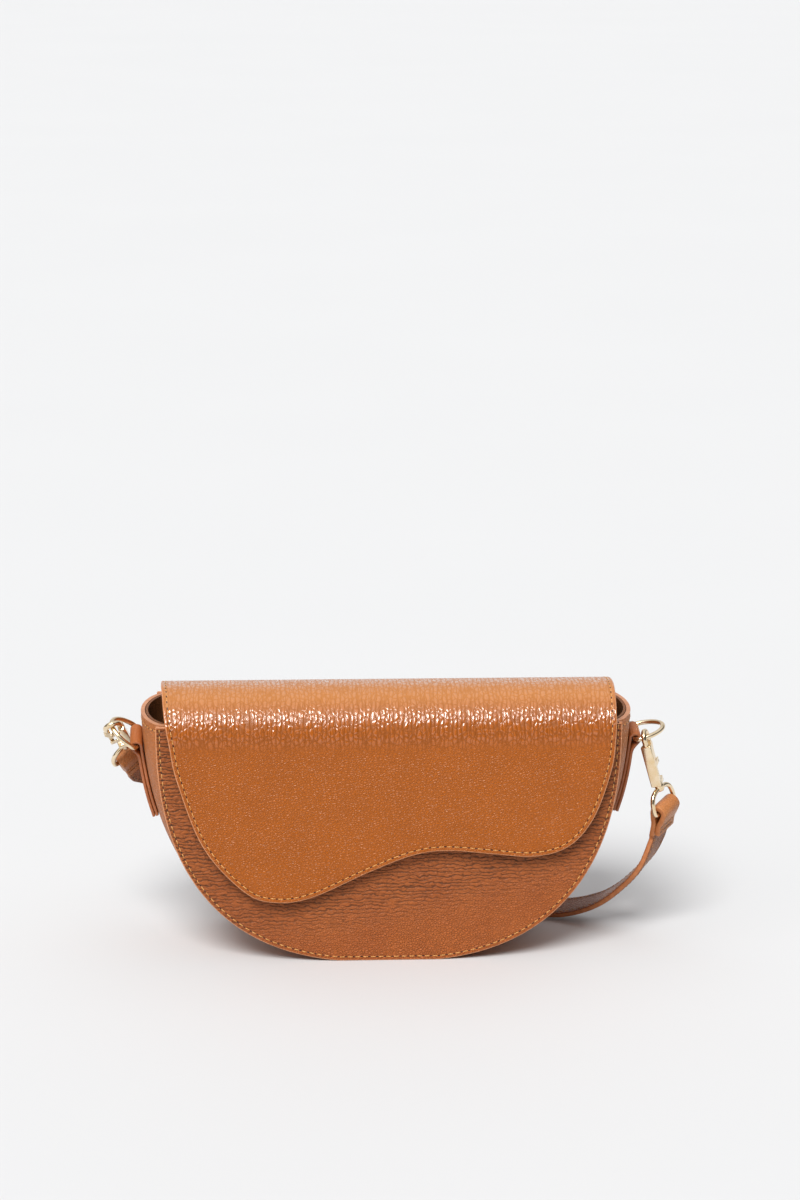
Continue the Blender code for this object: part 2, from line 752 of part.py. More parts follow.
def make_clasp(suffix, hang, metal):
    """Hook, gate, pin, spring leaf and swivel of one clasp."""
    origin, gate_way, side_way, up = clasp_axes(hang)
    place = frame_matrix(origin, gate_way, side_way, up)

    def upright(u, w, depth):
        return Vector((u, depth, w))

    bar_near = -hook_radius - bar_depth / 2
    bar_far = bar_near + bar_depth
    outline = [(bar_near, 0), (foot_reach, 0), (foot_reach, foot_height), (bar_far, foot_height),
               (bar_far, bar_height), (bar_near, bar_height)]
    hook = prism("hook" + suffix, outline, upright, -bar_half_width, bar_half_width, metal, place)
    soften(hook, bar_edge)
    arch = [Vector((-hook_radius, 0, hook_root_height)), Vector((-hook_radius, 0, bar_height))]
    for i in range(2 * wall_steps + 1):
        angle = math.pi * (1 - i / (2 * wall_steps))
        arch.append(Vector((hook_radius * math.cos(angle), 0,
                            hook_height + hook_radius * math.sin(angle))))
    arch.append(Vector((hook_radius, 0, hook_height - hook_tip_drop)))
    arch_wire = wire("hook_arch" + suffix, arch, Vector((0, 1, 0)), hook_wire_radius, None, False,
                     place)
    combine(hook, arch_wire, "UNION")
    ear_top = gate_pivot_height + ear_half_height
    ear_low = gate_pivot_height - ear_half_height
    ear_reach = hook_radius + ear_half_height
    ear_inner = gate_half_width + fit_gap
    ear_outline = [(bar_far - bar_edge, ear_low), (ear_reach, ear_low), (ear_reach, ear_top),
                   (bar_far - bar_edge, ear_top)]
    ear_outer = bar_half_width - bar_edge
    for number, (near, far) in enumerate(((-ear_outer, -ear_inner), (ear_inner, ear_outer))):
        ear = prism("ear" + suffix + str(number), ear_outline, upright, near, far, None, place)
        combine(hook, ear, "UNION")
    pivot = Vector((hook_radius, 0, gate_pivot_height))
    pivot_place = place @ Matrix.Translation(pivot)
    pin_place = pivot_place @ Matrix.Rotation(math.radians(90), 4, "X")
    hole_radius = pin_radius + pin_clearance
    hole = turned("pin_hole" + suffix, [(hole_radius, -bar_depth), (hole_radius, bar_depth)], None,
                  pin_place)
    combine(hook, hole, "DIFFERENCE")
    bore_radius = stem_radius + stem_clearance
    bore = turned("stem_bore" + suffix, [(bore_radius, -cut_overrun),
                                         (bore_radius, foot_height + bar_edge)], None, place)
    combine(hook, bore, "DIFFERENCE")

    turned("gate_pin" + suffix, [(pin_radius, -ear_outer), (pin_radius, ear_outer)], metal,
           pin_place)
    gate_top = hook_height - hook_tip_drop - fit_gap - gate_pivot_height
    gate_outline = [
        (-gate_half_depth, -gate_tail), (gate_half_depth, -gate_tail),
        (gate_half_depth, gate_nub_place - gate_nub_height),
        (gate_half_depth + gate_nub_reach, gate_nub_place),
        (gate_half_depth + gate_nub_reach, gate_nub_place + gate_nub_height / 2),
        (gate_half_depth, gate_nub_place + gate_nub_height),
        (gate_half_depth, gate_top), (-gate_half_depth, gate_top),
    ]
    gate = prism("gate" + suffix, gate_outline, upright, -gate_half_width, gate_half_width, metal,
                 pivot_place)
    combine(gate, hole, "DIFFERENCE")

    leaf_near = -gate_half_depth - fit_gap - spring_leaf / 2
    leaf_far = bar_far - hook_radius + spring_play
    leaf = smooth_through([Vector((leaf_near, 0, spring_top_place)),
                           Vector((leaf_near, 0, (spring_top_place + spring_foot_place) / 2)),
                           Vector((leaf_far, 0, spring_foot_place))], 3)
    ribbon("gate_spring" + suffix, leaf, [Vector((0, 1, 0))] * len(leaf), 2 * spring_half_width,
           spring_leaf, metal, place=pivot_place)

    make_swivel(suffix, hang, metal)
    return place


def swivel_place(hang):
    """The swivel's placement: X along its eye's bar, Z up the clasp."""
    origin, _, _, up = clasp_axes(hang)
    bar = across(hang["bar"], up)
    return frame_matrix(origin, bar, up.cross(bar), up)


def make_swivel(suffix, hang, metal):
    """The stem that turns in the hook's foot, with the eye that holds the strap."""
    place = swivel_place(hang)
    head_low = foot_height + fit_gap
    profile = [(boss_radius, -boss_height), (boss_radius, -fit_gap), (stem_radius, -fit_gap),
               (stem_radius, head_low), (stem_head_radius, head_low),
               (stem_head_radius, head_low + stem_head_height)]
    swivel = turned("swivel" + suffix, profile, metal, place)
    eye = [Vector((along, 0, reach - eye_drop)) for reach, along in
           d_shape(eye_half_bar, eye_reach, eye_corner, eye_bow_power)]
    eye_wire = wire("eye" + suffix, eye, Vector((0, 1, 0)), eye_wire_radius, None, True, place)
    combine(swivel, eye_wire, "UNION")


def strap_end_axes(hang):
    """Centre of the eye's bar, and the loop's upward, tail and width directions."""
    place = swivel_place(hang)
    width = place.col[0].to_3d().normalized()
    up = -across(hang["strap"], width)
    tail = up.cross(width) * hang["tail_side"]
    centre = place @ Vector((0, 0, -eye_drop))
    return centre, up, tail, width


def make_strap_end(name, hang, leather):
    """The strap's end, folded round the eye's bar and sewn back on itself."""
    centre, up, tail, width = strap_end_axes(hang)
    r = eye_wire_radius + strap_loop_clearance + strap_thickness / 2
    half = (strap_thickness + fit_gap) / 2
    side = [(-strap_loop_length, -half), (-2.4 * r, -half), (-1.15 * r, -0.80 * r)]
    arc = [(r * math.sin(math.pi * i / loop_arc_steps), -r * math.cos(math.pi * i / loop_arc_steps))
           for i in range(loop_arc_steps + 1)]
    back = [(-1.15 * r, 0.80 * r), (-2.4 * r, half), (-strap_tail_length, half)]
    flat = smooth_through([Vector(point) for point in side + arc + back], 3)
    path = [centre + up * point.x + tail * point.y for point in flat]
    ribbon(name, path, [width] * len(path), strap_width, strap_thickness, leather)
    start = centre - up * (strap_loop_length + fit_gap / 2) - tail * half
    return start, -up, width


def coil_rows():
    """Points of the coil: it winds inwards on its edge and climbs out in the middle."""
    rows = []
    steps = round(coil_turns * coil_steps_per_turn)
    low = strap_width / 2 + fit_gap
    for i in range(steps + 1):
        turn = i / coil_steps_per_turn
        angle = -math.pi / 2 - 2 * math.pi * turn
        radius = coil_radius - coil_spacing * turn
        share = min(max((turn - coil_turns + coil_rise_turns) / coil_rise_turns, 0), 1)
        height = low + (coil_exit_height - low) * share * share * (3 - 2 * share)
        point = Vector((coil_centre_x + radius * math.cos(angle),
                        coil_centre_y + radius * math.sin(angle), height))
        rows.append((point, Vector((0, 0, 1))))
    return rows


def even_rows(rows, spacing):
    """Rows of point and width direction, evenly spaced along a smooth curve."""
    points = smooth_through([row[0] for row in rows], 8)
    widths = smooth_through([row[1] for row in rows], 8)
    lengths = [0.0]
    for a, b in zip(points, points[1:]):
        lengths.append(lengths[-1] + (b - a).length)
    count = max(round(lengths[-1] / spacing), 2)
    result = []
    at = 0
    for i in range(count + 1):
        target = lengths[-1] * i / count
        while at < len(points) - 2 and lengths[at + 1] < target:
            at += 1
        span = max(lengths[at + 1] - lengths[at], 1e-9)
        share = (target - lengths[at]) / span
        result.append((points[at].lerp(points[at + 1], share),
                       widths[at].lerp(widths[at + 1], share)))
    return result


def shorten(rows, ends):
    """Draw both ends of a stretch back, so that it meets its neighbours with a gap."""
    rows = list(rows)
    rows[0] = (rows[0][0] + ends[0] * (fit_gap / 2), rows[0][1])
    rows[-1] = (rows[-1][0] - ends[1] * (fit_gap / 2), rows[-1][1])
    return rows


def least_gap(rows, spacing):
    """The least distance between turns of the coil, less the strap's thickness."""
    apart = coil_steps_per_turn // 2
    least = spacing
    for i, (point, _) in enumerate(rows):
        for other, _ in rows[i + apart:]:
            flat = (point - other).to_2d().length
            if abs(point.z - other.z) < strap_width and flat < least:
                least = flat
    return least - strap_thickness


def make_strap(leather):
    """Both ends, both free stretches and the coil between them."""
    right_start, right_way, right_width = make_strap_end("strap_end_right", right_hang, leather)
    left_start, left_way, left_width = make_strap_end("strap_end_left", left_hang, leather)
    coil = coil_rows()
    right = [(right_start, right_width),
             (right_start + right_way * strap_guide_length, right_width)]
    right += [(Vector(point), Vector(width)) for point, width in right_route]
    right.append(coil[0])
    left = [coil[-1]] + [(Vector(point), Vector(width)) for point, width in left_route]
    left.append((left_start + left_way * strap_guide_length, left_width))
    left.append((left_start, left_width))
    total = 0.0
    coil_way = Vector((-1, 0, 0))
    for name, rows, ends in (
            ("strap_run_right", even_rows(right, strap_sections_apart), (right_way, coil_way)),
            ("strap_coil", coil, (coil_way, coil_way)),
            ("strap_run_left", even_rows(left, strap_sections_apart), (coil_way, -left_way))):
        rows = shorten(rows, ends)
        path = [row[0] for row in rows]
        ribbon(name, path, [row[1] for row in rows], strap_width, strap_thickness, leather, ends)
        length = sum((b - a).length for a, b in zip(path, path[1:]))
        total += length
        print(name, "length in millimetres", round(1000 * length))
    print("strap between its folded ends, millimetres", round(1000 * total))
    gap = least_gap(coil, 2 * coil_spacing)
    print("least gap between turns, millimetres", round(1000 * gap, 2))


def main():
    clear_scene()
    leather = finish_of("tan_leather", (0.45, 0.14, 0.03), 0.45, 0.0)
    dark_leather = finish_of("strap_leather", (0.35, 0.11, 0.03), 0.5, 0.0)
    cloth = finish_of("lining_cloth", (0.10, 0.05, 0.03), 0.9, 0.0)
    board = finish_of("reinforcement_board", (0.42, 0.36, 0.27), 0.8, 0.0)
    metal = finish_of("pale_gold", (0.87, 0.70, 0.40), 0.2, 1.0)
    front, stiffener = make_body(leather, dark_leather, cloth, board)
    flap, lining = make_flap(leather, cloth)
    make_snap(front, stiffener, flap, lining, metal)
    for suffix, hang in (("_right", right_hang), ("_left", left_hang)):
        make_tab("tab" + suffix, hang, leather)
        make_ring("d_ring" + suffix, hang, metal)
        make_clasp(suffix, hang, metal)
    make_strap(dark_leather)


main()
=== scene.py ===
# %% [markdown]
# A half-moon crossbody bag in pebbled tan leather, dressed for a studio picture.
# The imported model is the fixed frame: every piece made here sits on it, and all but the flap's
# cover and lining ride with one of its bodies.

# %% Load the frame
import math
from bisect import bisect_left

import bmesh
import bpy
from mathutils import Matrix, Vector
from mathutils.geometry import delaunay_2d_cdt
from mathutils.kdtree import KDTree


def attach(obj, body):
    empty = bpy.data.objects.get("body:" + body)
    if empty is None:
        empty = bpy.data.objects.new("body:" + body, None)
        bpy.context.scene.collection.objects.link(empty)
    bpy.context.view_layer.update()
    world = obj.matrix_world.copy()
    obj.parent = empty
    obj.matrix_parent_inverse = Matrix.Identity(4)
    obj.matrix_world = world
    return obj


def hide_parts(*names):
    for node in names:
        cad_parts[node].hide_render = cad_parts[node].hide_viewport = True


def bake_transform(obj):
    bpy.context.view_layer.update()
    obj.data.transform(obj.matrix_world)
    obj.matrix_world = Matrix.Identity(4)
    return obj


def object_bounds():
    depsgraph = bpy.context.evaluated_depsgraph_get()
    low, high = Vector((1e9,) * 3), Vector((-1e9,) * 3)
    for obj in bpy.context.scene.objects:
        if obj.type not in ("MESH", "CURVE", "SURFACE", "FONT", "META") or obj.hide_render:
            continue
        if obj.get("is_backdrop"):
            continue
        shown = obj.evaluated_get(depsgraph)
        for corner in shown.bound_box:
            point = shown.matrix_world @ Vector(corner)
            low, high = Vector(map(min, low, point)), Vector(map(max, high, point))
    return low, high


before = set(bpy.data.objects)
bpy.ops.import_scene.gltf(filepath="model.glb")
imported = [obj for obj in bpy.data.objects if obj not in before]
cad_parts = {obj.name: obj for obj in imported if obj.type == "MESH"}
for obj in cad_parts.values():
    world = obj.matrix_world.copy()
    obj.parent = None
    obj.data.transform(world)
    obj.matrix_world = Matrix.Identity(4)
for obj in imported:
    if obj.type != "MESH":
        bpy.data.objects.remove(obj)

cad_low, cad_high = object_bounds()
mm = 0.001

# %% [markdown]
# The sizes below are those of the solid model, so that each dressed piece lies where its solid
# lies.

# %% Sizes
# Body: panels, gusset and the snap between them and the flap
panel_half_width = 114.0 * mm
rim_height = 120.5 * mm
body_depth = 70.0 * mm
sole_trim = 1.0 * mm
outline_drop_power = 2.43
outline_side_power = 2.56
panel_leather = 1.6 * mm
panel_dome = 1.0 * mm
fit_gap = 0.3 * mm
gusset_bulge = 7.5 * mm
gusset_lift = 1.0 * mm
gusset_wall = 2.0 * mm
gusset_round_power = 0.6
gusset_fade_power = 0.7
seam_margin = 3.5 * mm
flange_leather = 1.2 * mm
snap_height = 78.0 * mm
snap_flange = 1.2 * mm
stud_flange = 0.8 * mm

# Flap and its root
flap_half_width = 111.2 * mm
flap_leather = 1.4 * mm
flap_lining = 0.8 * mm
flap_rise = 16.3 * mm
flap_roll_run = 24.5 * mm
flap_roll_drop = 24.0 * mm
flap_hinge_slope = 15.0
flap_rise_pull = 22.0 * mm
flap_crown_pull = 18.0 * mm
root_height = 22.0 * mm
fold_leg = 3.0 * mm
fold_steps = 8
fold_covers = 3
roll_steps = 32
bend_length = 7.0 * mm
hinge_clearance = 0.6 * mm
rim_clearance = 0.6 * mm

# Tabs and D-rings
tab_width = 15.0 * mm
tab_leather = 1.4 * mm
tab_bottom_height = 69.2 * mm
tab_loop_height = 105.8 * mm
tab_loop_radius = 2.4 * mm
tab_twist_start_height = 80.0 * mm
ring_wire_radius = 1.2 * mm
ring_half_bar = 9.3 * mm
ring_reach = 15.0 * mm
ring_corner = 2.5 * mm

# Clasps
hook_radius = 3.5 * mm
hook_wire_radius = 1.35 * mm
hook_height = 25.1 * mm
hook_tip_drop = 2.6 * mm
hook_root_height = 20.4 * mm
ring_play = 0.6 * mm
bar_height = 22.4 * mm
bar_depth = 3.2 * mm
bar_half_width = 2.6 * mm
foot_height = 3.2 * mm
foot_reach = 2.6 * mm
gate_pivot_height = 11.0 * mm
gate_half_width = 1.1 * mm
ear_half_height = 1.4 * mm
boss_radius = 2.3 * mm
boss_height = 3.8 * mm
eye_wire_radius = 1.2 * mm
eye_half_bar = 9.4 * mm
eye_reach = 11.2 * mm
eye_corner = 2.0 * mm
eye_drop = 14.0 * mm
eye_bow_power = 0.7

# Strap and its coil
strap_width = 15.0 * mm
strap_thickness = 2.7 * mm
strap_corner = 0.7 * mm
strap_loop_clearance = 0.5 * mm
strap_loop_length = 14.2 * mm
strap_tail_length = 12.5 * mm
strap_guide_length = 5.0 * mm
coil_centre_x = -15.0 * mm
coil_centre_y = 100.0 * mm
coil_radius = 50.0 * mm
coil_turns = 3.0
coil_spacing = 6.4 * mm
coil_rise_turns = 0.36
coil_exit_height = 24.3 * mm

# The flap's waved front edge, as shares of its half width and of the rim's height
flap_edge_shares = [
    (-1.0, 1.16), (-0.985, 1.033), (-0.965, 0.929), (-0.933, 0.784), (-0.821, 0.506),
    (-0.644, 0.317), (-0.506, 0.268), (-0.340, 0.289), (-0.092, 0.393), (0.100, 0.462),
    (0.253, 0.481), (0.461, 0.464), (0.641, 0.452), (0.793, 0.494), (0.901, 0.613),
    (0.973, 0.804), (0.992, 0.930), (1.0, 1.16),
]

# The strap's way down to its coil and up from it: places and width directions
right_route = [
    ((0.1305, 0.0040, 0.0370), (0.52, 0.79, 0.30)),
    ((0.1214, 0.0120, 0.0235), (0.47, 0.86, 0.20)),
    ((0.1127, 0.0190, 0.0144), (0.45, 0.86, 0.22)),
    ((0.1035, 0.0250, 0.0088), (0.43, 0.86, 0.26)),
    ((0.0940, 0.0300, 0.0055), (0.41, 0.86, 0.29)),
    ((0.0840, 0.0345, 0.0043), (0.38, 0.87, 0.30)),
    ((0.0730, 0.0385, 0.0040), (0.35, 0.88, 0.32)),
    ((0.0600, 0.0422, 0.0046), (0.29, 0.88, 0.38)),
    ((0.0460, 0.0455, 0.0057), (0.20, 0.80, 0.57)),
    ((0.0300, 0.0480, 0.0075), (0.08, 0.52, 0.85)),
    ((0.0140, 0.0495, 0.0080), (0.01, 0.20, 0.98)),
    ((0.0000, 0.0500, 0.0078), (0.00, 0.00, 1.00)),
]
left_route = [
    ((-0.0320, 0.0690, 0.0254), (0.00, 0.00, 1.00)),
    ((-0.0490, 0.0682, 0.0300), (0.04, 0.02, 1.00)),
    ((-0.0660, 0.0668, 0.0375), (0.14, 0.06, 0.97)),
    ((-0.0820, 0.0645, 0.0472), (0.26, 0.11, 0.95)),
    ((-0.0965, 0.0610, 0.0575), (0.40, 0.18, 0.90)),
    ((-0.1085, 0.0560, 0.0670), (0.52, 0.24, 0.80)),
    ((-0.1175, 0.0495, 0.0750), (0.62, 0.30, 0.72)),
]

# How each ring, clasp and strap end hangs: angles in degrees, directions in the part's frame
right_hang = dict(
    side=1, lift=15.0, tilt=9.0, bow_angle=-78.0,
    down=(0.28, 0.10, -0.955), gate_side=1, turn=-26.0,
    bar=(0.57, 0.75, 0.32), strap=(-0.28, 0.07, -0.96), tail_side=-1,
)
left_hang = dict(
    side=-1, lift=37.0, tilt=22.0, bow_angle=-15.0,
    down=(0.19, 0.80, -0.565), gate_side=1, turn=0.0,
    bar=(0.75, 0.35, 0.55), strap=(0.25, 0.75, -0.60), tail_side=1,
)
side_names = ("right", "left")
gate_nodes = ("gate", "gate_pin", "gate_spring")

# %% [markdown]
# The camera stands a little to the left of the bag and looks slightly down on it.
# Its lens covers the picture's 1200 pixel height with the fitted focal length in pixels.

# %% Camera
camera_place = Vector((-0.0853, -1.6626, 0.5643))
camera_yaw = math.radians(3.1638)
camera_pitch = math.radians(13.1478)
camera_roll = math.radians(0.2528)
focal_pixels = 3470.6
picture_height = 1200
sensor = 36.0
nearest_seen = 0.05
farthest_seen = 100


def added(name, data):
    """A new object in the scene."""
    made = bpy.data.objects.new(name, data)
    bpy.context.collection.objects.link(made)
    return made


camera_data = bpy.data.cameras.new("camera")
camera_data.sensor_width = sensor
camera_data.lens = focal_pixels / picture_height * sensor
camera_data.clip_start = nearest_seen
camera_data.clip_end = farthest_seen
camera = added("camera", camera_data)
forward = Vector((math.sin(camera_yaw) * math.cos(camera_pitch),
                  math.cos(camera_yaw) * math.cos(camera_pitch), -math.sin(camera_pitch)))
right = Vector((math.cos(camera_yaw), -math.sin(camera_yaw), 0))
up = right.cross(forward)
rolled_right = right * math.cos(camera_roll) + up * math.sin(camera_roll)
rolled_up = up * math.cos(camera_roll) - right * math.sin(camera_roll)
turn = Matrix((rolled_right, rolled_up, -forward)).transposed().to_4x4()
camera.matrix_world = Matrix.Translation(camera_place) @ turn
bpy.context.scene.camera = camera
bpy.context.scene.view_settings.view_transform = "Standard"


# %% [markdown]
# Small helpers: curves through points, places along a path, lofts from rings of points, wires and
# flat bands.

# %% Geometry helpers
# A side of a band's section is a cut edge where it lies beyond this share of the half width
edge_share = 0.985
corner_steps = 3
wire_sides = 20
least_span = 1e-12


def spaced(first, last, steps):
    """Evenly spaced values from the first to the last."""
    return [first + (last - first) * i / steps for i in range(steps + 1)]


def smooth_through(points, steps):
    """Points on a smooth curve that passes through every given point."""
    rows = [Vector(point) for point in points]
    rows = [2 * rows[0] - rows[1]] + rows + [2 * rows[-1] - rows[-2]]
    result = []
    for i in range(1, len(rows) - 2):
        a, b, c, d = rows[i - 1:i + 3]
        for k in range(steps):
            t = k / steps
            result.append(0.5 * (2 * b + (c - a) * t + (2 * a - 5 * b + 4 * c - d) * t * t
                                 + (3 * b - a - 3 * c + d) * t ** 3))
    result.append(rows[-2])
    return result


def path_lengths(points):
    """The length along a path up to each of its points."""
    lengths = [0.0]
    for a, b in zip(points, points[1:]):
        lengths.append(lengths[-1] + (b - a).length)
    return lengths


def place_on(lengths, target):
    """The stretch of a path that holds a length along it, and the share of that stretch."""
    at = bisect_left(lengths, target, 1, len(lengths) - 1) - 1
    return at, (target - lengths[at]) / max(lengths[at + 1] - lengths[at], least_span)


def even_places(lengths, spacing, closed=False):
    """Places at an even spacing along a path, the last one left out where the path is closed."""
    targets = spaced(0, lengths[-1], max(round(lengths[-1] / spacing), 2))
    return [place_on(lengths, target) for target in (targets[:-1] if closed else targets)]


def evenly(points, spacing, closed=False):
    """Points at an even spacing along a path."""
    rows = list(points) + ([points[0]] if closed else [])
    return [rows[at].lerp(rows[at + 1], share)
            for at, share in even_places(path_lengths(rows), spacing, closed)]


def eased(value, low, high):
    """A smooth rise from 0 to 1 while a value goes from low to high."""
    share = min(max((value - low) / (high - low), 0), 1)
    return share * share * (3 - 2 * share)


def circle(sides):
    """Corners of a regular polygon with radius 1."""
    angles = [2 * math.pi * k / sides for k in range(sides)]
    return [(math.cos(angle), math.sin(angle)) for angle in angles]


def across(direction, axis):
    """The part of a direction that is square to an axis, at unit length."""
    direction = Vector(direction)
    return (direction - axis * direction.dot(axis)).normalized()


def frame_matrix(origin, x_axis, y_axis, z_axis):
    """A placement from an origin and three axes."""
    return Matrix.Translation(origin) @ Matrix((x_axis, y_axis, z_axis)).transposed().to_4x4()


def mesh_from(name, maker):
    """A mesh from a bmesh, which is freed."""
    mesh = bpy.data.meshes.new(name)
    maker.to_mesh(mesh)
    maker.free()
    return mesh


def piece_from(name, maker, looks, body, sharp=40):
    """Make a piece from a bmesh with its finishes; it rides on its body, if one is named."""
    bmesh.ops.recalc_face_normals(maker, faces=maker.faces)
    mesh = mesh_from(name, maker)
    mesh.shade_smooth()
    mesh.set_sharp_from_angle(angle=math.radians(sharp))
    for look in looks:
        mesh.materials.append(look)
    piece = added(name, mesh)
    if body:
        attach(piece, body)
    return piece


def bridge(maker, loops, closed=False, face_look=None):
    """Faces between each loop of vertices and the next; face_look(i, j) gives a face's finish."""
    count = len(loops[0])
    pairs = list(zip(loops, loops[1:]))
    if closed:
        pairs.append((loops[-1], loops[0]))
    for i, (first, second) in enumerate(pairs):
        for j in range(count):
            k = (j + 1) % count
            face = maker.faces.new((first[j], first[k], second[k], second[j]))
            if face_look:
                face.material_index = face_look(i, j)


def add_loft(maker, rings, closed=False, face_look=None):
    """Bridge rings of points and close both ends, which face_look knows as ring -1."""
    loops = [[maker.verts.new(point) for point in ring] for ring in rings]
    bridge(maker, loops, closed, face_look)
    if not closed:
        for loop in (loops[0], loops[-1]):
            face = maker.faces.new(loop)
            if face_look:
                face.material_index = face_look(-1, 0)


def band_piece(name, rings, edges, looks, sharp=60):
    """A band of leather on the bag, whose cut edges and ends get the second finish."""
    maker = bmesh.new()
    add_loft(maker, rings, face_look=lambda i, j: 1 if i < 0 or edges[j] else 0)
    return piece_from(name, maker, looks, "bag", sharp)


def add_wire(maker, points, normal, radius, closed=False, taper=None):
    """A round wire along a flat path; taper gives the radius share at each point."""
    rings = []
    count = len(points)
    for i, point in enumerate(points):
        before = points[i - 1] if closed or i else point
        after = points[(i + 1) % count] if closed or i < count - 1 else point
        side = (after - before).normalized().cross(normal)
        reach = radius * (taper[i] if taper else 1)
        rings.append([point + side * (reach * u) + normal * (reach * v)
                      for u, v in circle(wire_sides)])
    add_loft(maker, rings, closed)


def band_section(width, thickness, corner):
    """The rounded cross-section of a flat band, and which of its sides are the cut edges."""
    points = []
    for sx, sy, start in ((1, 1, 0), (-1, 1, 90), (-1, -1, 180), (1, -1, 270)):
        for turn in spaced(start, start + 90, corner_steps):
            angle = math.radians(turn)
            points.append((sx * (width / 2 - corner) + corner * math.cos(angle),
                           sy * (thickness / 2 - corner) + corner * math.sin(angle)))
    following = points[1:] + points[:1]
    edges = [abs(a[0] + b[0]) > width * edge_share for a, b in zip(points, following)]
    return points, edges


def path_frames(path, widths, ends=None):
    """Each point of a band's path with the directions of its width and of its thickness."""
    frames = []
    last = len(path) - 1
    for i, point in enumerate(path):
        along = (path[min(i + 1, last)] - path[max(i - 1, 0)]).normalized()
        if ends and i in (0, last):
            along = ends[0] if i == 0 else ends[1]
        side = across(widths[i], along)
        frames.append((point, side, along.cross(side).normalized()))
    return frames


def band_rings(path, widths, section, ends=None):
    """Rings of a flat band along a path, its width lying in the given directions."""
    return [[point + side * u + up * v for u, v in section]
            for point, side, up in path_frames(path, widths, ends)]


# %% [markdown]
# Materials. One function adds nodes, one turns a picture colour into a scene colour,
# and the leather, painted edge, thread, metal and cloth are built from them.

# %% Material helpers
# Lengths are in metres; each warp is an amount and the scale of the noise that bends the cells
wave_at_scale_one = math.pi / 10
grain_cell = (1.3 * mm, 1.3 * mm, 1.1 * mm)
grain_warp = (0.5 * mm, 600.0)
roll_cell = (2.4 * mm, 3.0 * mm, 3.6 * mm)
roll_warp = (0.6 * mm, 300.0)
roll_columns = 2.2 * mm
roll_fade_back = 30 * mm
roll_fade_front = 5 * mm
branch_cell = (4.5 * mm, 4.0 * mm, 1.9 * mm)
branch_warp = (0.8 * mm, 280.0)
wrinkle_spacing = 1.9 * mm
wrinkle_break_scale = (160.0, 160.0, 420.0)
wrinkle_lean = -0.22
wrinkles_from = 0.006
wrinkles_full = 0.040
highlight_tint = "FFF2E0"
valley_roughness = 0.18

# The roll's ridges: their make-up, the shade of their gaps, its fading in the pale crown, the gloss,
# and the tone and share of the painted highlight that makes the crown pale
pebble_share = 0.75
column_share = 0.65
pale_ridge_share = 0.6
gap_shade = 0.36
pale_gap_shade = 0.14
gloss_roughness = 0.13
gloss_refraction = 1.7
crown_highlight_tone = "CC8C50"
crown_highlight_share = 0.55

# The wrinkles: the swell where they break off, the share of the branches, the painted shade in their
# valleys, and painted shade over the whole wrinkled zone
broken_swell = 0.75
branch_share = 0.35
branch_depth = 0.55
valley_shade = 0.74
wrinkled_shade = 0.24


def colour(code):
    """A scene colour from a picture's hex code."""
    parts = [int(code[i:i + 2], 16) / 255 for i in (0, 2, 4)]
    return tuple(p / 12.92 if p <= 0.04045 else ((p + 0.055) / 1.055) ** 2.4 for p in parts) + (1,)


def connect(tree, made, inputs):
    """Fill the inputs of a node, or link them where a value comes from another node."""
    for key, value in inputs.items():
        if isinstance(value, bpy.types.NodeSocket):
            tree.links.new(value, made.inputs[key])
        else:
            made.inputs[key].default_value = value


def node(tree, kind, inputs, ramp=(), **settings):
    """Add a node, set its options and the colours of its ramp, and connect its inputs."""
    made = tree.nodes.new("ShaderNode" + kind)
    for key, value in settings.items():
        setattr(made, key, value)
    for i, (position, tone) in enumerate(ramp):
        made.color_ramp.elements[i].position = position
        made.color_ramp.elements[i].color = tone
    connect(tree, made, inputs)
    return made


def new_look(name):
    """An empty material with its shader and its object coordinates."""
    look = bpy.data.materials.new(name)
    look.use_nodes = True
    tree = look.node_tree
    shader = tree.nodes["Principled BSDF"]
    place = node(tree, "TexCoord", {}).outputs["Object"]
    return look, tree, shader, place


def scaled(tree, value, factor):
    """A value times a factor, which may be another value."""
    return node(tree, "Math", {0: value, 1: factor}, operation="MULTIPLY").outputs[0]


def blend_values(tree, share, first, second):
    """The first value where the share is 0, the second where it is 1."""
    return node(tree, "Mix", {"Factor": share, "A": first, "B": second}).outputs["Result"]


def band(tree, value, low, high):
    """A smooth rise from 0 to 1 while a value goes from low to high."""
    return node(tree, "MapRange", {"Value": value, "From Min": low, "From Max": high},
                interpolation_type="SMOOTHSTEP").outputs["Result"]


def darker(tree, line, amount):
    """A brightness that falls by an amount where the line value is 0."""
    return node(tree, "MapRange", {"Value": line, "To Min": 1.0 - amount}).outputs["Result"]


def stretched(tree, place, scale, warp=None):
    """Coordinates stretched by a scale; warp, an amount and a noise scale, bends them first."""
    if warp:
        amount, warp_scale = warp
        bend = node(tree, "TexNoise", {"Vector": place, "Scale": warp_scale, "Detail": 2.0})
        centred = node(tree, "VectorMath", {0: bend.outputs["Color"], 1: (0.5, 0.5, 0.5)},
                       operation="SUBTRACT").outputs[0]
        moved = node(tree, "VectorMath", {0: centred, "Scale": amount},
                     operation="SCALE").outputs[0]
        place = node(tree, "VectorMath", {0: place, 1: moved}, operation="ADD").outputs[0]
    return node(tree, "VectorMath", {0: place, 1: scale}, operation="MULTIPLY").outputs[0]


def creases(tree, place, cell, warp, plateau=0.30, width=0.16):
    """Cells of a size in metres: the swell of each pebble, and a value that is 0 on its edge."""
    scale = tuple(1 / size for size in cell)
    cells = node(tree, "TexVoronoi", {"Vector": stretched(tree, place, scale, warp), "Scale": 1.0},
                 feature="DISTANCE_TO_EDGE")
    distance = cells.outputs["Distance"]
    return band(tree, distance, 0.0, plateau), band(tree, distance, 0.0, width)


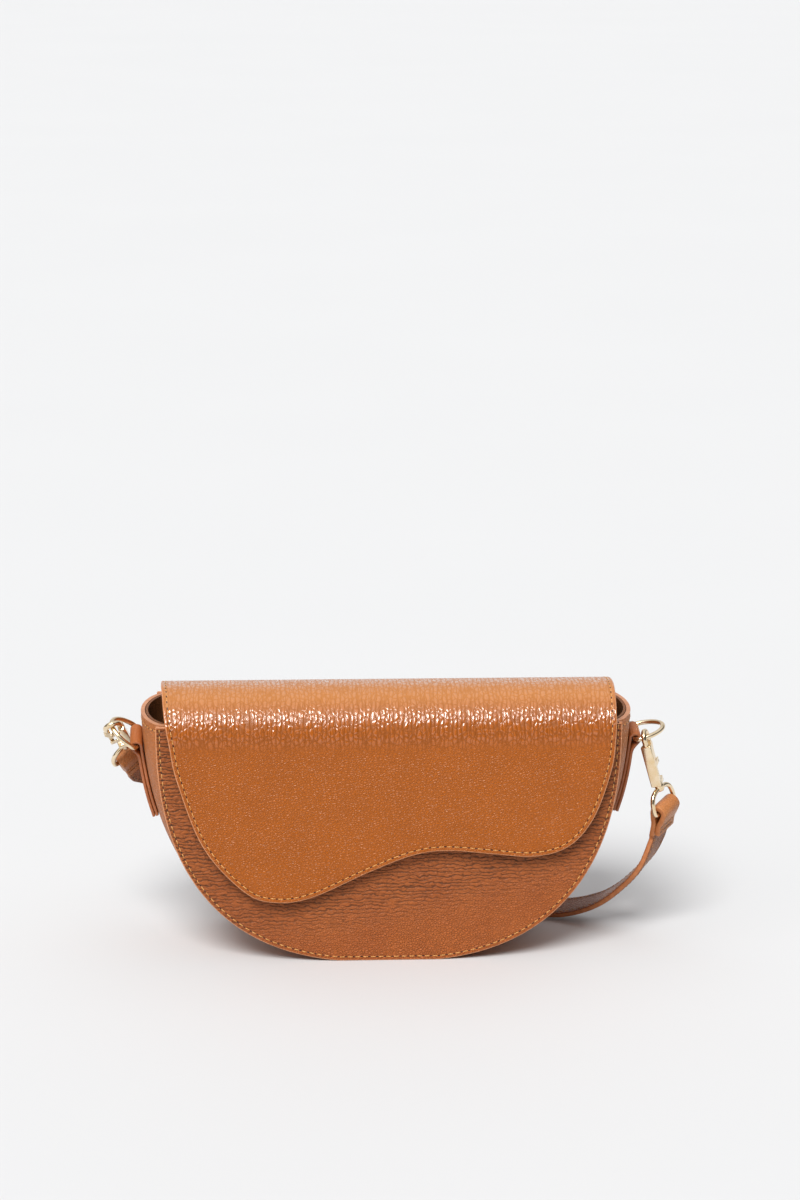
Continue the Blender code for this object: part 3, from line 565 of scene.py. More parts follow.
def wrinkle_lines(tree, place):
    """Level wrinkles that break off and branch: their swell, and a value that is 0 in them."""
    waves = node(tree, "TexWave", {"Vector": stretched(tree, place, (0.65, 1.0, 1.0)),
                                   "Scale": wave_at_scale_one / wrinkle_spacing,
                                   "Distortion": 7.5, "Detail": 2.5, "Detail Scale": 1.7,
                                   "Detail Roughness": 0.55}, bands_direction="Z").outputs["Fac"]
    breaks = node(tree, "TexNoise", {"Vector": stretched(tree, place, wrinkle_break_scale),
                                     "Scale": 1.0, "Detail": 2.0}).outputs["Fac"]
    broken = band(tree, breaks, 0.30, 0.46)
    branch, branch_line = creases(tree, place, branch_cell, branch_warp, width=0.10)
    swell = blend_values(tree, broken, broken_swell, band(tree, waves, 0.0, 0.55))
    line = blend_values(tree, broken, 1.0, band(tree, waves, 0.0, 0.30))
    swell = blend_values(tree, branch_share, swell, branch)
    return swell, scaled(tree, line, darker(tree, branch_line, branch_depth))


def leather(name, light, dark, rough, depth=0.25, shadow=0.16, shine=0.45, wrinkles=0.0,
            roll=None):
    """Pebbled leather, with the wrinkles of a slack panel or the stretched grain of a roll.

    Depth is the relief in millimetres, and shadow is how much darker its creases are than its
    pebbles. Roll names the heights on the flap's front between which the stretched grain, the
    gloss and the painted highlight that lightens the crown of its roll fade in.
    """
    look, tree, shader, place = new_look(name)
    if roll:
        place = node(tree, "Attribute", {}, attribute_name="skin_place").outputs["Vector"]
    spot = node(tree, "SeparateXYZ", {"Vector": place})
    swell, line = creases(tree, place, grain_cell, grain_warp)
    height = swell
    bright = darker(tree, line, shadow)
    broad = node(tree, "TexNoise", {"Vector": place, "Scale": 45.0, "Detail": 3.0}).outputs["Fac"]
    tone = node(tree, "ValToRGB", {"Fac": broad},
                ramp=((0.30, colour(dark)), (0.70, colour(light)))).outputs["Color"]
    if roll:
        grain, gloss, pale = [band(tree, spot.outputs["Z"], length_at(low), length_at(high))
                              for low, high in roll]
        crown = band(tree, spot.outputs["Z"], crown_length - roll_fade_back,
                     crown_length - roll_fade_front)
        grain = scaled(tree, grain, crown)
        gloss = scaled(tree, gloss, crown)
        pebble, gap = creases(tree, place, roll_cell, roll_warp, plateau=0.34)
        columns = node(tree, "TexWave", {"Vector": stretched(tree, place, (1.0, 1.0, 0.4)),
                                         "Scale": wave_at_scale_one / roll_columns,
                                         "Distortion": 5.5, "Detail": 2.0, "Detail Scale": 1.6},
                       bands_direction="X").outputs["Fac"]
        gap = scaled(tree, gap, band(tree, columns, 0.0, 0.30))
        upright = scaled(tree, band(tree, columns, 0.0, 0.8), column_share)
        ridge = node(tree, "Math", {0: scaled(tree, pebble, pebble_share), 1: upright},
                     operation="ADD").outputs[0]
        ridge = blend_values(tree, pale, ridge, scaled(tree, ridge, pale_ridge_share))
        height = blend_values(tree, grain, height, ridge)
        swell = blend_values(tree, grain, swell, pebble)
        groove = blend_values(tree, pale, darker(tree, gap, gap_shade),
                              darker(tree, gap, pale_gap_shade))
        bright = blend_values(tree, grain, bright, groove)
        connect(tree, shader, {"Coat Weight": scaled(tree, gloss, gap),
                               "Coat Roughness": gloss_roughness, "Coat IOR": gloss_refraction})
        # The crown of the roll is painted lighter: a painted highlight where it faces the light from
        # above
        crown_highlight = scaled(tree, scaled(tree, pale, crown), crown_highlight_share)
        tone = node(tree, "Mix", {"Factor": crown_highlight, "A": tone, "B": colour(crown_highlight_tone)},
                    data_type="RGBA").outputs["Result"]
    if wrinkles:
        fold, fold_line = wrinkle_lines(tree, place)
        lean = node(tree, "Math", {0: spot.outputs["X"], 1: wrinkle_lean, 2: spot.outputs["Z"]},
                    operation="MULTIPLY_ADD").outputs[0]
        wide = node(tree, "TexNoise", {"Vector": place, "Scale": 14.0, "Detail": 2.0}).outputs["Fac"]
        patch = node(tree, "MapRange", {"Value": wide, "From Min": 0.35, "From Max": 0.60,
                                        "To Min": 0.8, "To Max": 1.0}).outputs["Result"]
        share = scaled(tree, band(tree, lean, wrinkles_from, wrinkles_full), patch)
        swell = blend_values(tree, share, swell, fold)
        height = swell
        # Painted shade: the valleys are darker, and so is the whole wrinkled zone, which on the front
        # panel stands for the shade under the flap
        valley = scaled(tree, darker(tree, fold_line, valley_shade * wrinkles),
                        1.0 - wrinkled_shade * wrinkles)
        bright = blend_values(tree, share, bright, valley)
    shade = node(tree, "HueSaturation", {"Color": tone, "Value": bright}).outputs["Color"]
    normal = node(tree, "Bump", {"Height": height, "Strength": 1.0,
                                 "Distance": depth * mm}).outputs["Normal"]
    polish = node(tree, "MapRange", {"Value": swell, "To Min": rough + valley_roughness,
                                     "To Max": rough}).outputs["Result"]
    connect(tree, shader, {"Base Color": shade, "Roughness": polish, "Normal": normal,
                           "Coat Normal": normal, "Specular IOR Level": shine,
                           "Specular Tint": colour(highlight_tint)})
    return look


def painted_edge(name, light, dark):
    """The burnished paint on a cut edge, with the layers showing faintly."""
    look, tree, shader, place = new_look(name)
    streak = node(tree, "TexNoise", {"Vector": place, "Scale": 420.0, "Detail": 3.0}).outputs["Fac"]
    tone = node(tree, "ValToRGB", {"Fac": streak}, ramp=((0.35, colour(dark)), (0.65, colour(light))))
    bump = node(tree, "Bump", {"Height": streak, "Strength": 0.3, "Distance": 0.08 * mm})
    connect(tree, shader, {"Base Color": tone.outputs["Color"], "Normal": bump.outputs["Normal"],
                           "Roughness": 0.42})
    return look


def thread(name, light, dark):
    """Twisted waxed thread."""
    look, tree, shader, place = new_look(name)
    twist = node(tree, "TexWave", {"Vector": place, "Scale": 420.0, "Distortion": 3.0},
                 bands_direction="DIAGONAL").outputs["Fac"]
    tone = node(tree, "ValToRGB", {"Fac": twist}, ramp=((0.0, colour(dark)), (1.0, colour(light))))
    bump = node(tree, "Bump", {"Height": twist, "Strength": 0.5, "Distance": 0.06 * mm})
    connect(tree, shader, {"Base Color": tone.outputs["Color"], "Normal": bump.outputs["Normal"],
                           "Roughness": 0.55})
    return look


def metal(name, light, dark):
    """Polished pale gold plating with faint wear."""
    look, tree, shader, place = new_look(name)
    wear = node(tree, "TexNoise", {"Vector": place, "Scale": 260.0, "Detail": 4.0}).outputs["Fac"]
    tone = node(tree, "ValToRGB", {"Fac": wear}, ramp=((0.3, colour(dark)), (0.6, colour(light))))
    rough = node(tree, "MapRange", {"Value": wear, "To Min": 0.13, "To Max": 0.25})
    connect(tree, shader, {"Base Color": tone.outputs["Color"],
                           "Roughness": rough.outputs["Result"], "Metallic": 1.0})
    return look


def cloth(name, light, dark):
    """Woven lining cloth."""
    look, tree, shader, place = new_look(name)
    threads = [node(tree, "TexWave", {"Vector": place, "Scale": 420.0, "Distortion": 1.0,
                                      "Detail": 1.0}, bands_direction=direction).outputs["Fac"]
               for direction in ("X", "Z")]
    weave = scaled(tree, threads[0], threads[1])
    tone = node(tree, "ValToRGB", {"Fac": weave}, ramp=((0.0, colour(dark)), (1.0, colour(light))))
    bump = node(tree, "Bump", {"Height": weave, "Strength": 0.4, "Distance": 0.1 * mm})
    connect(tree, shader, {"Base Color": tone.outputs["Color"], "Normal": bump.outputs["Normal"],
                           "Roughness": 0.85, "Sheen Weight": 0.2})
    return look


# %% [markdown]
# The half-moon outline and the flap's profile are the same curves as those of the solids. Written
# as functions of an angle or a height, they also give the places of seams, tabs and folds.

# %% Shapes of the bag
def outline_angle(height, inset=0.0):
    """The outline's angle at a height: 0 at the rim and a right angle at the foot."""
    drop = rim_height + sole_trim - inset
    share = max(rim_height - height, 0) / drop
    return math.asin(min(share ** (outline_drop_power / 2), 1))


def outline_at(angle, inset=0.0):
    """The right half of the outline at an angle, as X and height."""
    drop = rim_height + sole_trim - inset
    x = (panel_half_width - inset) * max(math.cos(angle), 0) ** (2 / outline_side_power)
    z = rim_height - drop * math.sin(angle) ** (2 / outline_drop_power)
    return Vector((x, z))


def outward_at(angle):
    """The direction out of the outline at an angle."""
    step = math.radians(1)
    low = max(angle - step, 0)
    along = (outline_at(low + 2 * step) - outline_at(low)).normalized()
    return Vector((-along.y, along.x))


def bulge_at(height):
    """How far the middle of the gusset stands out of the outline at a height."""
    share = max(height, 0) / rim_height
    return (gusset_bulge + gusset_lift) * share ** gusset_fade_power - gusset_lift


def dome_at(x, height):
    """How far the front panel swells forwards at a place."""
    half = max(outline_at(outline_angle(height)).x, abs(x), mm)
    share = min(max((rim_height - height) / rim_height, 0), 1)
    return panel_dome * (1 - (x / half) ** 2) * max(math.sin(math.pi * share), 0)


snap_dome = dome_at(0, snap_height)
flap_thickness = flap_leather + fit_gap + flap_lining
flap_stand_off = snap_dome + 3 * fit_gap + snap_flange + stud_flange
front_stack = flap_stand_off + flap_thickness
back_stack = fit_gap + panel_leather
body_shift = (front_stack - back_stack) / 2
front_face = body_shift - body_depth / 2
back_face = body_shift + body_depth / 2
flap_front = front_face - flap_stand_off - flap_thickness
flange_depth = body_depth / 2 - panel_leather - fit_gap
wall_depth = flange_depth - flange_leather
hinge_y = back_face + fit_gap + panel_leather / 2
hinge_z = rim_height + rim_clearance + flap_thickness / 2 + hinge_clearance / 2


def moon_outline(inset=0.0, steps=90):
    """The half-moon outline from the right rim round the foot to the left rim."""
    angles = spaced(0, outline_angle(inset, inset), steps)
    right_side = [outline_at(a, inset) for a in angles]
    left_side = [Vector((-p.x, p.y)) for p in right_side[::-1]]
    return right_side + left_side


def flap_profile():
    """The flap's outer face in Y and Z: up the back, over fold and crown, and down the front."""
    slope = math.radians(flap_hinge_slope)
    along = Vector((-math.cos(slope), math.sin(slope)))
    up = Vector((math.sin(slope), math.cos(slope)))
    start = Vector((hinge_y, hinge_z)) + up * (flap_thickness / 2)
    crown = Vector((flap_front + flap_roll_run, rim_height + flap_rise))
    pull_start = start + along * flap_rise_pull
    pull_end = crown + Vector((flap_crown_pull, 0))
    cover = []
    for i in range(roll_steps):
        t = i / roll_steps
        s = 1 - t
        cover.append(start * s ** 3 + 3 * pull_start * s * s * t + 3 * pull_end * s * t * t
                     + crown * t ** 3)
    for angle in spaced(0, math.pi / 2, roll_steps):
        cover.append(Vector((crown.x - flap_roll_run * math.sin(angle),
                             crown.y - flap_roll_drop * (1 - math.cos(angle)))))
    cover.append(Vector((flap_front, 0.0)))
    root_face = back_face + fit_gap + panel_leather
    root_foot = hinge_z - flap_thickness / 2 - hinge_clearance - root_height
    fold_start = Vector((root_face, hinge_z - fold_leg))
    fold_end = cover[fold_covers]
    corner = fold_end + along * ((root_face - fold_end.x) / along.x)
    path = [Vector((root_face, root_foot))]
    for i in range(fold_steps):
        t = i / fold_steps
        path.append(fold_start * (1 - t) ** 2 + corner * 2 * t * (1 - t) + fold_end * t * t)
    return path + cover[fold_covers:]


profile = flap_profile()
profile_lengths = path_lengths(profile)
crown_index = len(profile) - roll_steps - 2
crown_length = profile_lengths[crown_index]
root_end = profile_lengths[1]
fold_end = profile_lengths[1 + fold_steps]


def profile_at(length):
    """Point and outward normal of the flap's profile at a length from its sewn end."""
    at, share = place_on(profile_lengths, length)
    point = profile[at].lerp(profile[at + 1], share)

    def way(i):
        i = min(max(i, 1), len(profile) - 2)
        return (profile[i + 1] - profile[i - 1]).normalized()

    along = way(at).lerp(way(at + 1), min(max(share, 0), 1)).normalized()
    return point, Vector((along.y, -along.x))


def length_at(height):
    """Length along the flap's profile at a height on its front side."""
    for i in range(len(profile) - 1, crown_index, -1):
        if profile[i - 1].y >= height:
            share = (height - profile[i].y) / (profile[i - 1].y - profile[i].y)
            return profile_lengths[i] + (profile_lengths[i - 1] - profile_lengths[i]) * share
    return crown_length


# %% [markdown]
# One finish for each kind of surface, its lighter tone first and its darker tone second. The same
# tan hide looks different where it is rolled, slack or folded, so each part has its own, and some
# parts carry painted light: the flap's crown is painted lighter as a highlight, the strap's ends
# lighter where they catch the light, and its run darker as painted shade.

# %% The materials
flap_look = leather("tan_pebbled_leather", "AA5812", "A45410", rough=0.24, depth=0.18, shadow=0.24,
                    shine=0.42, roll=((0.104, 0.117), (0.108, 0.118), (0.123, 0.134)))
panel_look = leather("tan_creased_leather", "B05E28", "A65624", rough=0.44, depth=0.46,
                     wrinkles=1.0)
back_look = leather("tan_back_leather", "B46028", "AA5A24", rough=0.36, wrinkles=0.4)
gusset_look = leather("tan_gusset_leather", "BC6C32", "B0642C", rough=0.38)
trim_look = leather("tan_trim_leather", "B26634", "A65E30", rough=0.38, depth=0.12)
# The strap's run and ends are one leather: the run is painted darker as shade, the ends painted
# lighter where they catch the light
strap_shaded_look = leather("tan_strap_leather", "A06038", "90522C", rough=0.28, depth=0.22, shadow=0.40,
                     shine=0.5)
strap_end_lit_look = leather("tan_strap_end_leather", "C47E48", "B66E3C", rough=0.30, depth=0.14,
                         shadow=0.22, shine=0.5)
inside_look = leather("brown_facing_leather", "86502A", "744220", rough=0.50, depth=0.12)
edge_look = painted_edge("painted_edge", "CB8A5E", "BA7648")
strap_edge_look = painted_edge("strap_painted_edge", "B87444", "A66438")
# The tabs' edge paint is a darker copy of the bag's edge paint: painted shade for tab edges that turn
# away from the light
tab_shaded_edge_look = painted_edge("tab_painted_edge", "A4643E", "905434")
thread_look = thread("ochre_thread", "E2AC68", "BC8040")
strap_thread_look = thread("strap_thread", "C99A6A", "9A6A40")
# Needle holes are painted near black: painted shade in the hole
hole_shade_look = painted_edge("needle_hole", "3A1A0A", "281006")
gold_look = metal("pale_gold_plating", "F4E0C0", "EACFA4")
lining_look = cloth("brown_lining_cloth", "4A2E1E", "2A170D")
board_look = cloth("fibre_board", "A09078", "84745C")

# %% [markdown]
# A sheet of leather starts as loops that follow its outline, which make the rounded cut edge and
# the groove under the stitching. Inside the last loop lie points in straight rows.

# %% Leather sheets and stitches
# The rounded edge, the loops on both sides of the stitching and the rows inside them
edge_corner = 0.55 * mm
corner_share = 0.4
chamfer_share = 0.3
margin_insets = [0.9 * mm, 1.3 * mm]
groove_steps = [-0.8 * mm, -0.35 * mm, 0.0, 0.35 * mm, 0.8 * mm, 1.5 * mm, 2.6 * mm]
groove_half_width = 0.55 * mm
back_margin = 0.8 * mm
face_margin = 0.5 * mm
distance_spacing = 0.15 * mm
farthest_share = 0.6
inset_halvings = 18

# A stitch, in shares of its half length and its radius, and the needle hole before it
stitch_stations = (-1.0, -0.8, -0.35, 0.35, 0.8, 1.0)
stitch_sides = 6
stitch_lift = 0.55
stitch_dive = 1.75
stitch_taper = 0.35
stitch_flatness = 0.9
hole_sides = 8
hole_overlap = 0.10 * mm
hole_half_width = 0.28 * mm
hole_rise = 0.08 * mm
hole_depth = 0.25 * mm
hole_narrowing = 0.85
hole_sink = 0.05 * mm


def inwards(outline):
    """Inward normals of a closed outline."""
    count = len(outline)
    area = sum(a.x * b.y - b.x * a.y for a, b in zip(outline, outline[1:] + outline[:1]))
    sign = 1 if area > 0 else -1
    result = []
    for i in range(count):
        along = (outline[(i + 1) % count] - outline[i - 1]).normalized()
        result.append(Vector((-along.y, along.x)) * sign)
    return result


def edge_distance(outline):
    """A function that gives a point's distance from the cut edge."""
    fine = evenly(outline, distance_spacing, closed=True)
    near = KDTree(len(fine))
    for i, p in enumerate(fine):
        near.insert((p.x, p.y, 0), i)
    near.balance()
    return lambda p: near.find((p.x, p.y, 0))[2]


def inset_finder(outline, centre, distance=None):
    """A function that moves an outline inwards, every point towards the centre until it lies
    the wanted distance from the cut edge. Sharp corners stay sharp and never fold over."""
    distance = distance or edge_distance(outline)

    def inset_loop(inset):
        loop = []
        for p in outline:
            low, high = 0.0, farthest_share
            for _ in range(inset_halvings):
                share = (low + high) / 2
                if distance(p.lerp(centre, share)) < inset:
                    low = share
                else:
                    high = share
            loop.append(p.lerp(centre, high))
        return loop

    return inset_loop


def leather_sheet(name, outline, centre, place, thickness, stitch_inset, looks, body, rows=None,
                  cell=3.5 * mm, groove=0.22 * mm, sink=0.0):
    """A closed sheet with a rounded edge and a groove where it is sewn.

    Rows are the heights of its inner points, and sink puts the whole sheet deeper.
    Every point keeps its place on the flat leather in the attribute skin_place.
    """
    normals = inwards(outline)
    corner = min(edge_corner, thickness * corner_share)
    chamfer = chamfer_share * corner
    edge_rows = [(corner, -thickness), (chamfer, -thickness + chamfer), (0.0, -thickness + corner),
                 (0.0, -corner), (chamfer, -chamfer), (corner, 0.0)]
    face_insets = margin_insets + [stitch_inset + step for step in groove_steps]
    maker = bmesh.new()
    skin = maker.verts.layers.float_vector.new("skin_place")
    distance = edge_distance(outline)
    inset_loop = inset_finder(outline, centre, distance)

    def add_point(p, depth):
        vertex = maker.verts.new(place(p.x, p.y, depth - sink))
        vertex[skin] = (p.x, depth, p.y)
        return vertex

    def fill(loop, points, depth, margin):
        """Triangles inside a loop, through the points of the grid that lie well inside it."""
        count = len(loop)
        flat_points = points + [q for q in grid if distance(q) > margin]
        found = delaunay_2d_cdt(flat_points, [], [list(range(count))], 1, 1e-7)
        made = {}
        for triangle in found[2]:
            for k in triangle:
                if k not in made:
                    own = [i for i in found[3][k] if i < count]
                    made[k] = loop[own[0]] if own else add_point(found[0][k], depth)
            maker.faces.new([made[k] for k in triangle])

    if rows is None:
        low = min(p.y for p in outline)
        high = max(p.y for p in outline)
        rows = [low + cell * i for i in range(1, int((high - low) / cell))]
    half = round(max(p.x for p in outline) / cell)
    grid = [Vector((cell * i, row)) for row in rows for i in range(-half, half + 1)]

    loops = []
    flats = []
    for inset, depth in edge_rows:
        flats.append([p + n * inset for p, n in zip(outline, normals)])
        loops.append([add_point(p, depth) for p in flats[-1]])
    for inset in face_insets:
        dip = -groove * math.exp(-((inset - stitch_inset) / groove_half_width) ** 2)
        flats.append(inset_loop(inset))
        loops.append([add_point(p, dip) for p in flats[-1]])
    bridge(maker, loops, face_look=lambda i, j: 1 if i < len(edge_rows) - 1 else 0)
    fill(loops[0], flats[0], -thickness, corner + back_margin)
    fill(loops[-1], flats[-1], 0.0, face_insets[-1] + face_margin)
    return piece_from(name, maker, looks, body, sharp=60)


def add_stitches(maker, points, normals, pitch=3.8 * mm, length=2.7 * mm, radius=0.24 * mm):
    """Stitches along a path, each a short thread that dives into its two needle holes."""
    lengths = path_lengths(points)
    count = int(lengths[-1] / pitch)
    step = lengths[-1] / count

    def at(target):
        k, share = place_on(lengths, target)
        share = min(max(share, 0), 1)
        up = normals[k].lerp(normals[k + 1], share).normalized()
        return points[k].lerp(points[k + 1], share), up

    for i in range(count):
        middle = step * (i + 0.5)
        first, first_up = at(middle - length / 2)
        second, second_up = at(middle + length / 2)
        along = (second - first).normalized()
        up = (first_up + second_up).normalized()
        side = along.cross(up).normalized()
        rings = []
        for t in stitch_stations:
            centre = (first + second) / 2 + along * (length / 2 * t)
            centre += up * (radius * (stitch_lift - stitch_dive * t ** 4))
            reach = radius * (1.0 - stitch_taper * t * t)
            rings.append([centre + side * (reach * u) + up * (reach * stitch_flatness * v)
                          for u, v in circle(stitch_sides)])
        add_loft(maker, rings)
        # Each needle hole is a shallow funnel painted near black, as painted shade
        hole = first - along * ((step - length) / 2)
        reach = (step - length) / 2 + hole_overlap
        disc = [hole + up * hole_rise + along * (reach * u) + side * (hole_half_width * v)
                for u, v in circle(hole_sides)]
        sunk = [p.lerp(hole - up * hole_depth, hole_narrowing) - up * hole_sink for p in disc]
        add_loft(maker, [disc, sunk], face_look=lambda i, j: 1)


# %% [markdown]
# The bag's two half-moon panels are cut leather. The front one swells a little under its linings.
# A flat plate would look like card, so each panel is a sheet laid on its own surface, and its
# seam runs at the same distance from the cut edge all round.

# %% Panels
sheet_spacing = 1.7 * mm
seam_spacing = 1.2 * mm
seam_steps = 120
panel_thread_depth = -0.20 * mm
moon = evenly(moon_outline(), sheet_spacing, closed=True)
moon_centre = Vector((0, 66 * mm))
stitch_inset = 2.0 * mm


def front_place(x, z, depth):
    return Vector((x, front_face - dome_at(x, z) - depth, z))


def back_place(x, z, depth):
    return Vector((x, back_face + depth, z))


front = leather_sheet("front_panel_leather", moon, moon_centre, front_place, panel_leather,
                      stitch_inset, [panel_look, edge_look], "bag")
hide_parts("front_panel")
back = leather_sheet("back_panel_leather", moon, moon_centre, back_place, panel_leather,
                     stitch_inset, [back_look, edge_look], "bag")
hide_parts("back_panel")

maker = bmesh.new()
seam = evenly(moon_outline(stitch_inset, seam_steps), seam_spacing)
for place, sign in ((front_place, -1), (back_place, 1)):
    points = [place(p.x, p.y, panel_thread_depth) for p in seam]
    add_stitches(maker, points, [Vector((0, sign, 0))] * len(points))
seams = piece_from("panel_stitching", maker, [thread_look, hole_shade_look], "bag")

# %% [markdown]
# The gusset is the strip of leather that runs round the half-moon and gives the bag its depth. Its
# flanges are sewn to the panels and its rim is painted. Its section changes with height, because
# the wall bulges most at the rim, so it is lofted from one section at each step of the outline.

# %% Gusset
wall_steps = 16
gusset_steps = 64
gusset_edge_rounding = 0.35 * mm
gusset_edge_angle = 50
rim_seam_drop = 3.4 * mm
rim_seam_ends = 3


def wall_curve(height, inward):
    """The bulged wall at a height, as outward reach and depth; inward moves it into the bag."""
    base = -seam_margin - inward
    swell = bulge_at(height) + seam_margin
    depth = wall_depth - inward
    curve = []
    for angle in spaced(-math.pi / 2, math.pi / 2, 2 * wall_steps):
        share = max(math.cos(angle), 0) ** (2 * gusset_round_power)
        curve.append((base + swell * share, depth * math.sin(angle)))
    return curve


def gusset_section(height):
    """The closed section of wall and flanges at a height."""
    outer = wall_curve(height, 0)
    inner = wall_curve(height, gusset_wall)[::-1]
    start = [(0, -flange_depth), (0, -wall_depth)]
    turn_in = [(0, wall_depth), (0, flange_depth), (inner[0][0], flange_depth)]
    return start + outer + turn_in + inner + [(inner[-1][0], -flange_depth)]


rings = []
angles = spaced(0, outline_angle(0), gusset_steps)
for side, rows in ((1, angles), (-1, angles[::-1])):
    for angle in rows:
        spot = outline_at(angle)
        out = outward_at(angle)
        rings.append([Vector((side * (spot.x + out.x * o), body_shift + depth, spot.y + out.y * o))
                      for o, depth in gusset_section(spot.y)])
far_edge = 2 + 2 * wall_steps + 1
gusset_edges = [j in (0, far_edge) for j in range(len(rings[0]))]
gusset = band_piece("gusset_leather", rings, gusset_edges, [gusset_look, edge_look], sharp=35)
bevel = gusset.modifiers.new("Rounding", "BEVEL")
bevel.width = gusset_edge_rounding
bevel.segments = 2
bevel.limit_method = "ANGLE"
bevel.angle_limit = math.radians(gusset_edge_angle)
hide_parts("gusset")

maker = bmesh.new()
height = rim_height - rim_seam_drop
spot = outline_at(outline_angle(height))
for side in (1, -1):
    points = [Vector((side * (spot.x + o), body_shift + depth, height))
              for o, depth in wall_curve(height, 0)[rim_seam_ends:-rim_seam_ends]]
    last = len(points) - 1
    normals = []
    for i in range(len(points)):
        along = (points[min(i + 1, last)] - points[max(i - 1, 0)]).normalized()
        out = Vector((along.y, -along.x, 0))
        normals.append(out if out.x * side > 0 else -out)
    add_stitches(maker, points, normals)
rim_seam = piece_from("rim_stitching", maker, [thread_look, hole_shade_look], "bag")

# %% [markdown]
# The flap: its sheet is drawn flat, as the leather is cut, and then wrapped over the profile.
# Its points lie closer together where it bends at the hinge.

# %% Flap
edge_wave_steps = 10
edge_top_margin = 4 * mm
hinge_margin = 2 * mm
hinge_splits = 3
root_row = 3 * mm
hinge_row = 0.6 * mm
front_row = 2.4 * mm
flap_cell = 2.6 * mm
centre_below_crown = 42 * mm
flap_stitch_inset = 2.2 * mm
flap_thread_depth = -0.18 * mm
seam_from_fold = 3 * mm
lining_inset = 0.7 * mm
lining_hem = 2.4 * mm
lining_clearance = 0.1 * mm
least_step = 0.1 * mm

flat = [Vector((-flap_half_width, 0.0)), Vector((-flap_half_width, crown_length))]
for point in smooth_through([(flap_half_width * x, rim_height * z) for x, z in flap_edge_shares],
                            edge_wave_steps):
    if point.y < rim_height + flap_rise - edge_top_margin:
        flat.append(Vector((min(max(point.x, -flap_half_width), flap_half_width),
                            length_at(point.y))))
flat += [Vector((flap_half_width, crown_length)), Vector((flap_half_width, 0.0))]
wide_flat = evenly(flat, sheet_spacing, closed=True)
bend_from = root_end - hinge_margin
bend_to = fold_end + bend_length + hinge_margin
flat = []
for a, b in zip(wide_flat, wide_flat[1:] + wide_flat[:1]):
    splits = hinge_splits if bend_from < a.y < bend_to else 1
    flat += [a.lerp(b, i / splits) for i in range(splits)]
flap_rows = [root_row * i for i in range(1, int(bend_from / root_row) + 1)]
while flap_rows[-1] < max(p.y for p in flat):
    flap_rows.append(flap_rows[-1] + (hinge_row if flap_rows[-1] < bend_to else front_row))
flap_centre = Vector((0, crown_length + centre_below_crown))


def flap_place(x, length, depth):
    point, normal = profile_at(max(length, 0.0))
    spot = point + normal * depth
    return Vector((x, spot.x, spot.y))


def bend_at_hinge(piece):
    """Bake the piece's placement into its mesh."""
    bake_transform(piece)


flap = leather_sheet("flap_cover", flat, flap_centre, flap_place, flap_leather, flap_stitch_inset,
                     [flap_look, edge_look], None, rows=flap_rows, cell=flap_cell)
bend_at_hinge(flap)
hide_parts("flap_leather", "flap_root")

flap_inset = inset_finder(flat, flap_centre)
lined = [Vector((p.x, max(p.y, fold_end + lining_inset))) for p in flap_inset(lining_inset)]
lined = evenly([p for i, p in enumerate(lined) if (p - lined[i - 1]).length > least_step],
               sheet_spacing, closed=True)
lining = leather_sheet("flap_lining_cloth", lined, flap_centre, flap_place, flap_lining, lining_hem,
                       [lining_look], None, rows=flap_rows, cell=flap_cell, groove=0.0,
                       sink=flap_leather + lining_clearance)
bend_at_hinge(lining)
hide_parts("flap_lining")

sewn = flap_inset(flap_stitch_inset)
for name, body, low, high in (("flap_stitching", "flap", fold_end + seam_from_fold, 1.0),
                              ("root_stitching", "bag", 0.0, root_end)):
    inside = [low < p.y < high for p in sewn]
    first = next(i for i in range(len(sewn)) if inside[i] and not inside[i - 1])
    run = [sewn[(first + i) % len(sewn)] for i in range(sum(inside))]
    points = [flap_place(p.x, p.y, flap_thread_depth) for p in run]
    normals = [Vector((0, *profile_at(p.y)[1])) for p in run]
    maker = bmesh.new()
    add_stitches(maker, points, normals)
    seam = piece_from(name, maker, [thread_look, hole_shade_look], body)

# %% [markdown]
# A leather tab on each side holds a D-ring, and a swivel clasp hangs on the ring. The solids have
# few sides, so they are made again with more, to look round. Each clasp is placed from the ring
# that carries it, so it hangs where the metal would let it hang.

# %% Tabs and clasps
tab_corner = 0.45 * mm
tab_lay_steps = 4
tab_neck_drop = 2.6
tab_neck = ((0.80, -0.72), (0.10, -1.62))
loop_steps = 6
d_corner_steps = 8
d_bow_steps = 48
block_rounding = 0.55 * mm
ear_rounding = 0.25 * mm
ear_overlap = 0.6 * mm
ear_side_gap = 0.4 * mm
foot_set_back = 0.3 * mm
arch_steps = 24
tip_length = 0.3 * mm
tip_share = 0.8
boss_sides = 32
boss_profile = ((0.55, -boss_height - 0.5 * mm), (0.86, -boss_height - 0.2 * mm),
                (1.0, -boss_height + 0.4 * mm), (1.0, -fit_gap - 0.5 * mm),
                (0.9, -fit_gap), (0.48, -fit_gap), (0.48, foot_height))


def side_line(height, offset):
    """A point at a height on the gusset's side, an offset away from the leather."""
    angle = outline_angle(height)
    return outline_at(angle) + outward_at(angle) * (bulge_at(height) + offset)


def tab_centre():
    """The middle of the tab's loop, where the ring's bar turns."""
    lay = side_line(tab_loop_height, fit_gap + tab_leather / 2)
    return Vector((lay.x + tab_loop_radius, tab_loop_height))


def tab_path():
    """The middle of the tab's leather: up the gusset, round the ring's bar and down again."""
    centre = tab_centre()
    r = tab_loop_radius
    lay = fit_gap + tab_leather / 2
    layer = tab_leather + fit_gap
    heights = spaced(tab_bottom_height, tab_loop_height - tab_neck_drop * r, tab_lay_steps)
    inner = [side_line(z, lay) for z in heights]
    outer = [side_line(z, lay + layer) for z in heights]
    arc = [centre + Vector((math.cos(angle), math.sin(angle))) * r
           for angle in spaced(math.pi, 0, loop_steps)]
    neck = [centre + Vector(point) * r for point in tab_neck]
    return smooth_through(inner + arc + neck + outer[::-1], loop_steps)


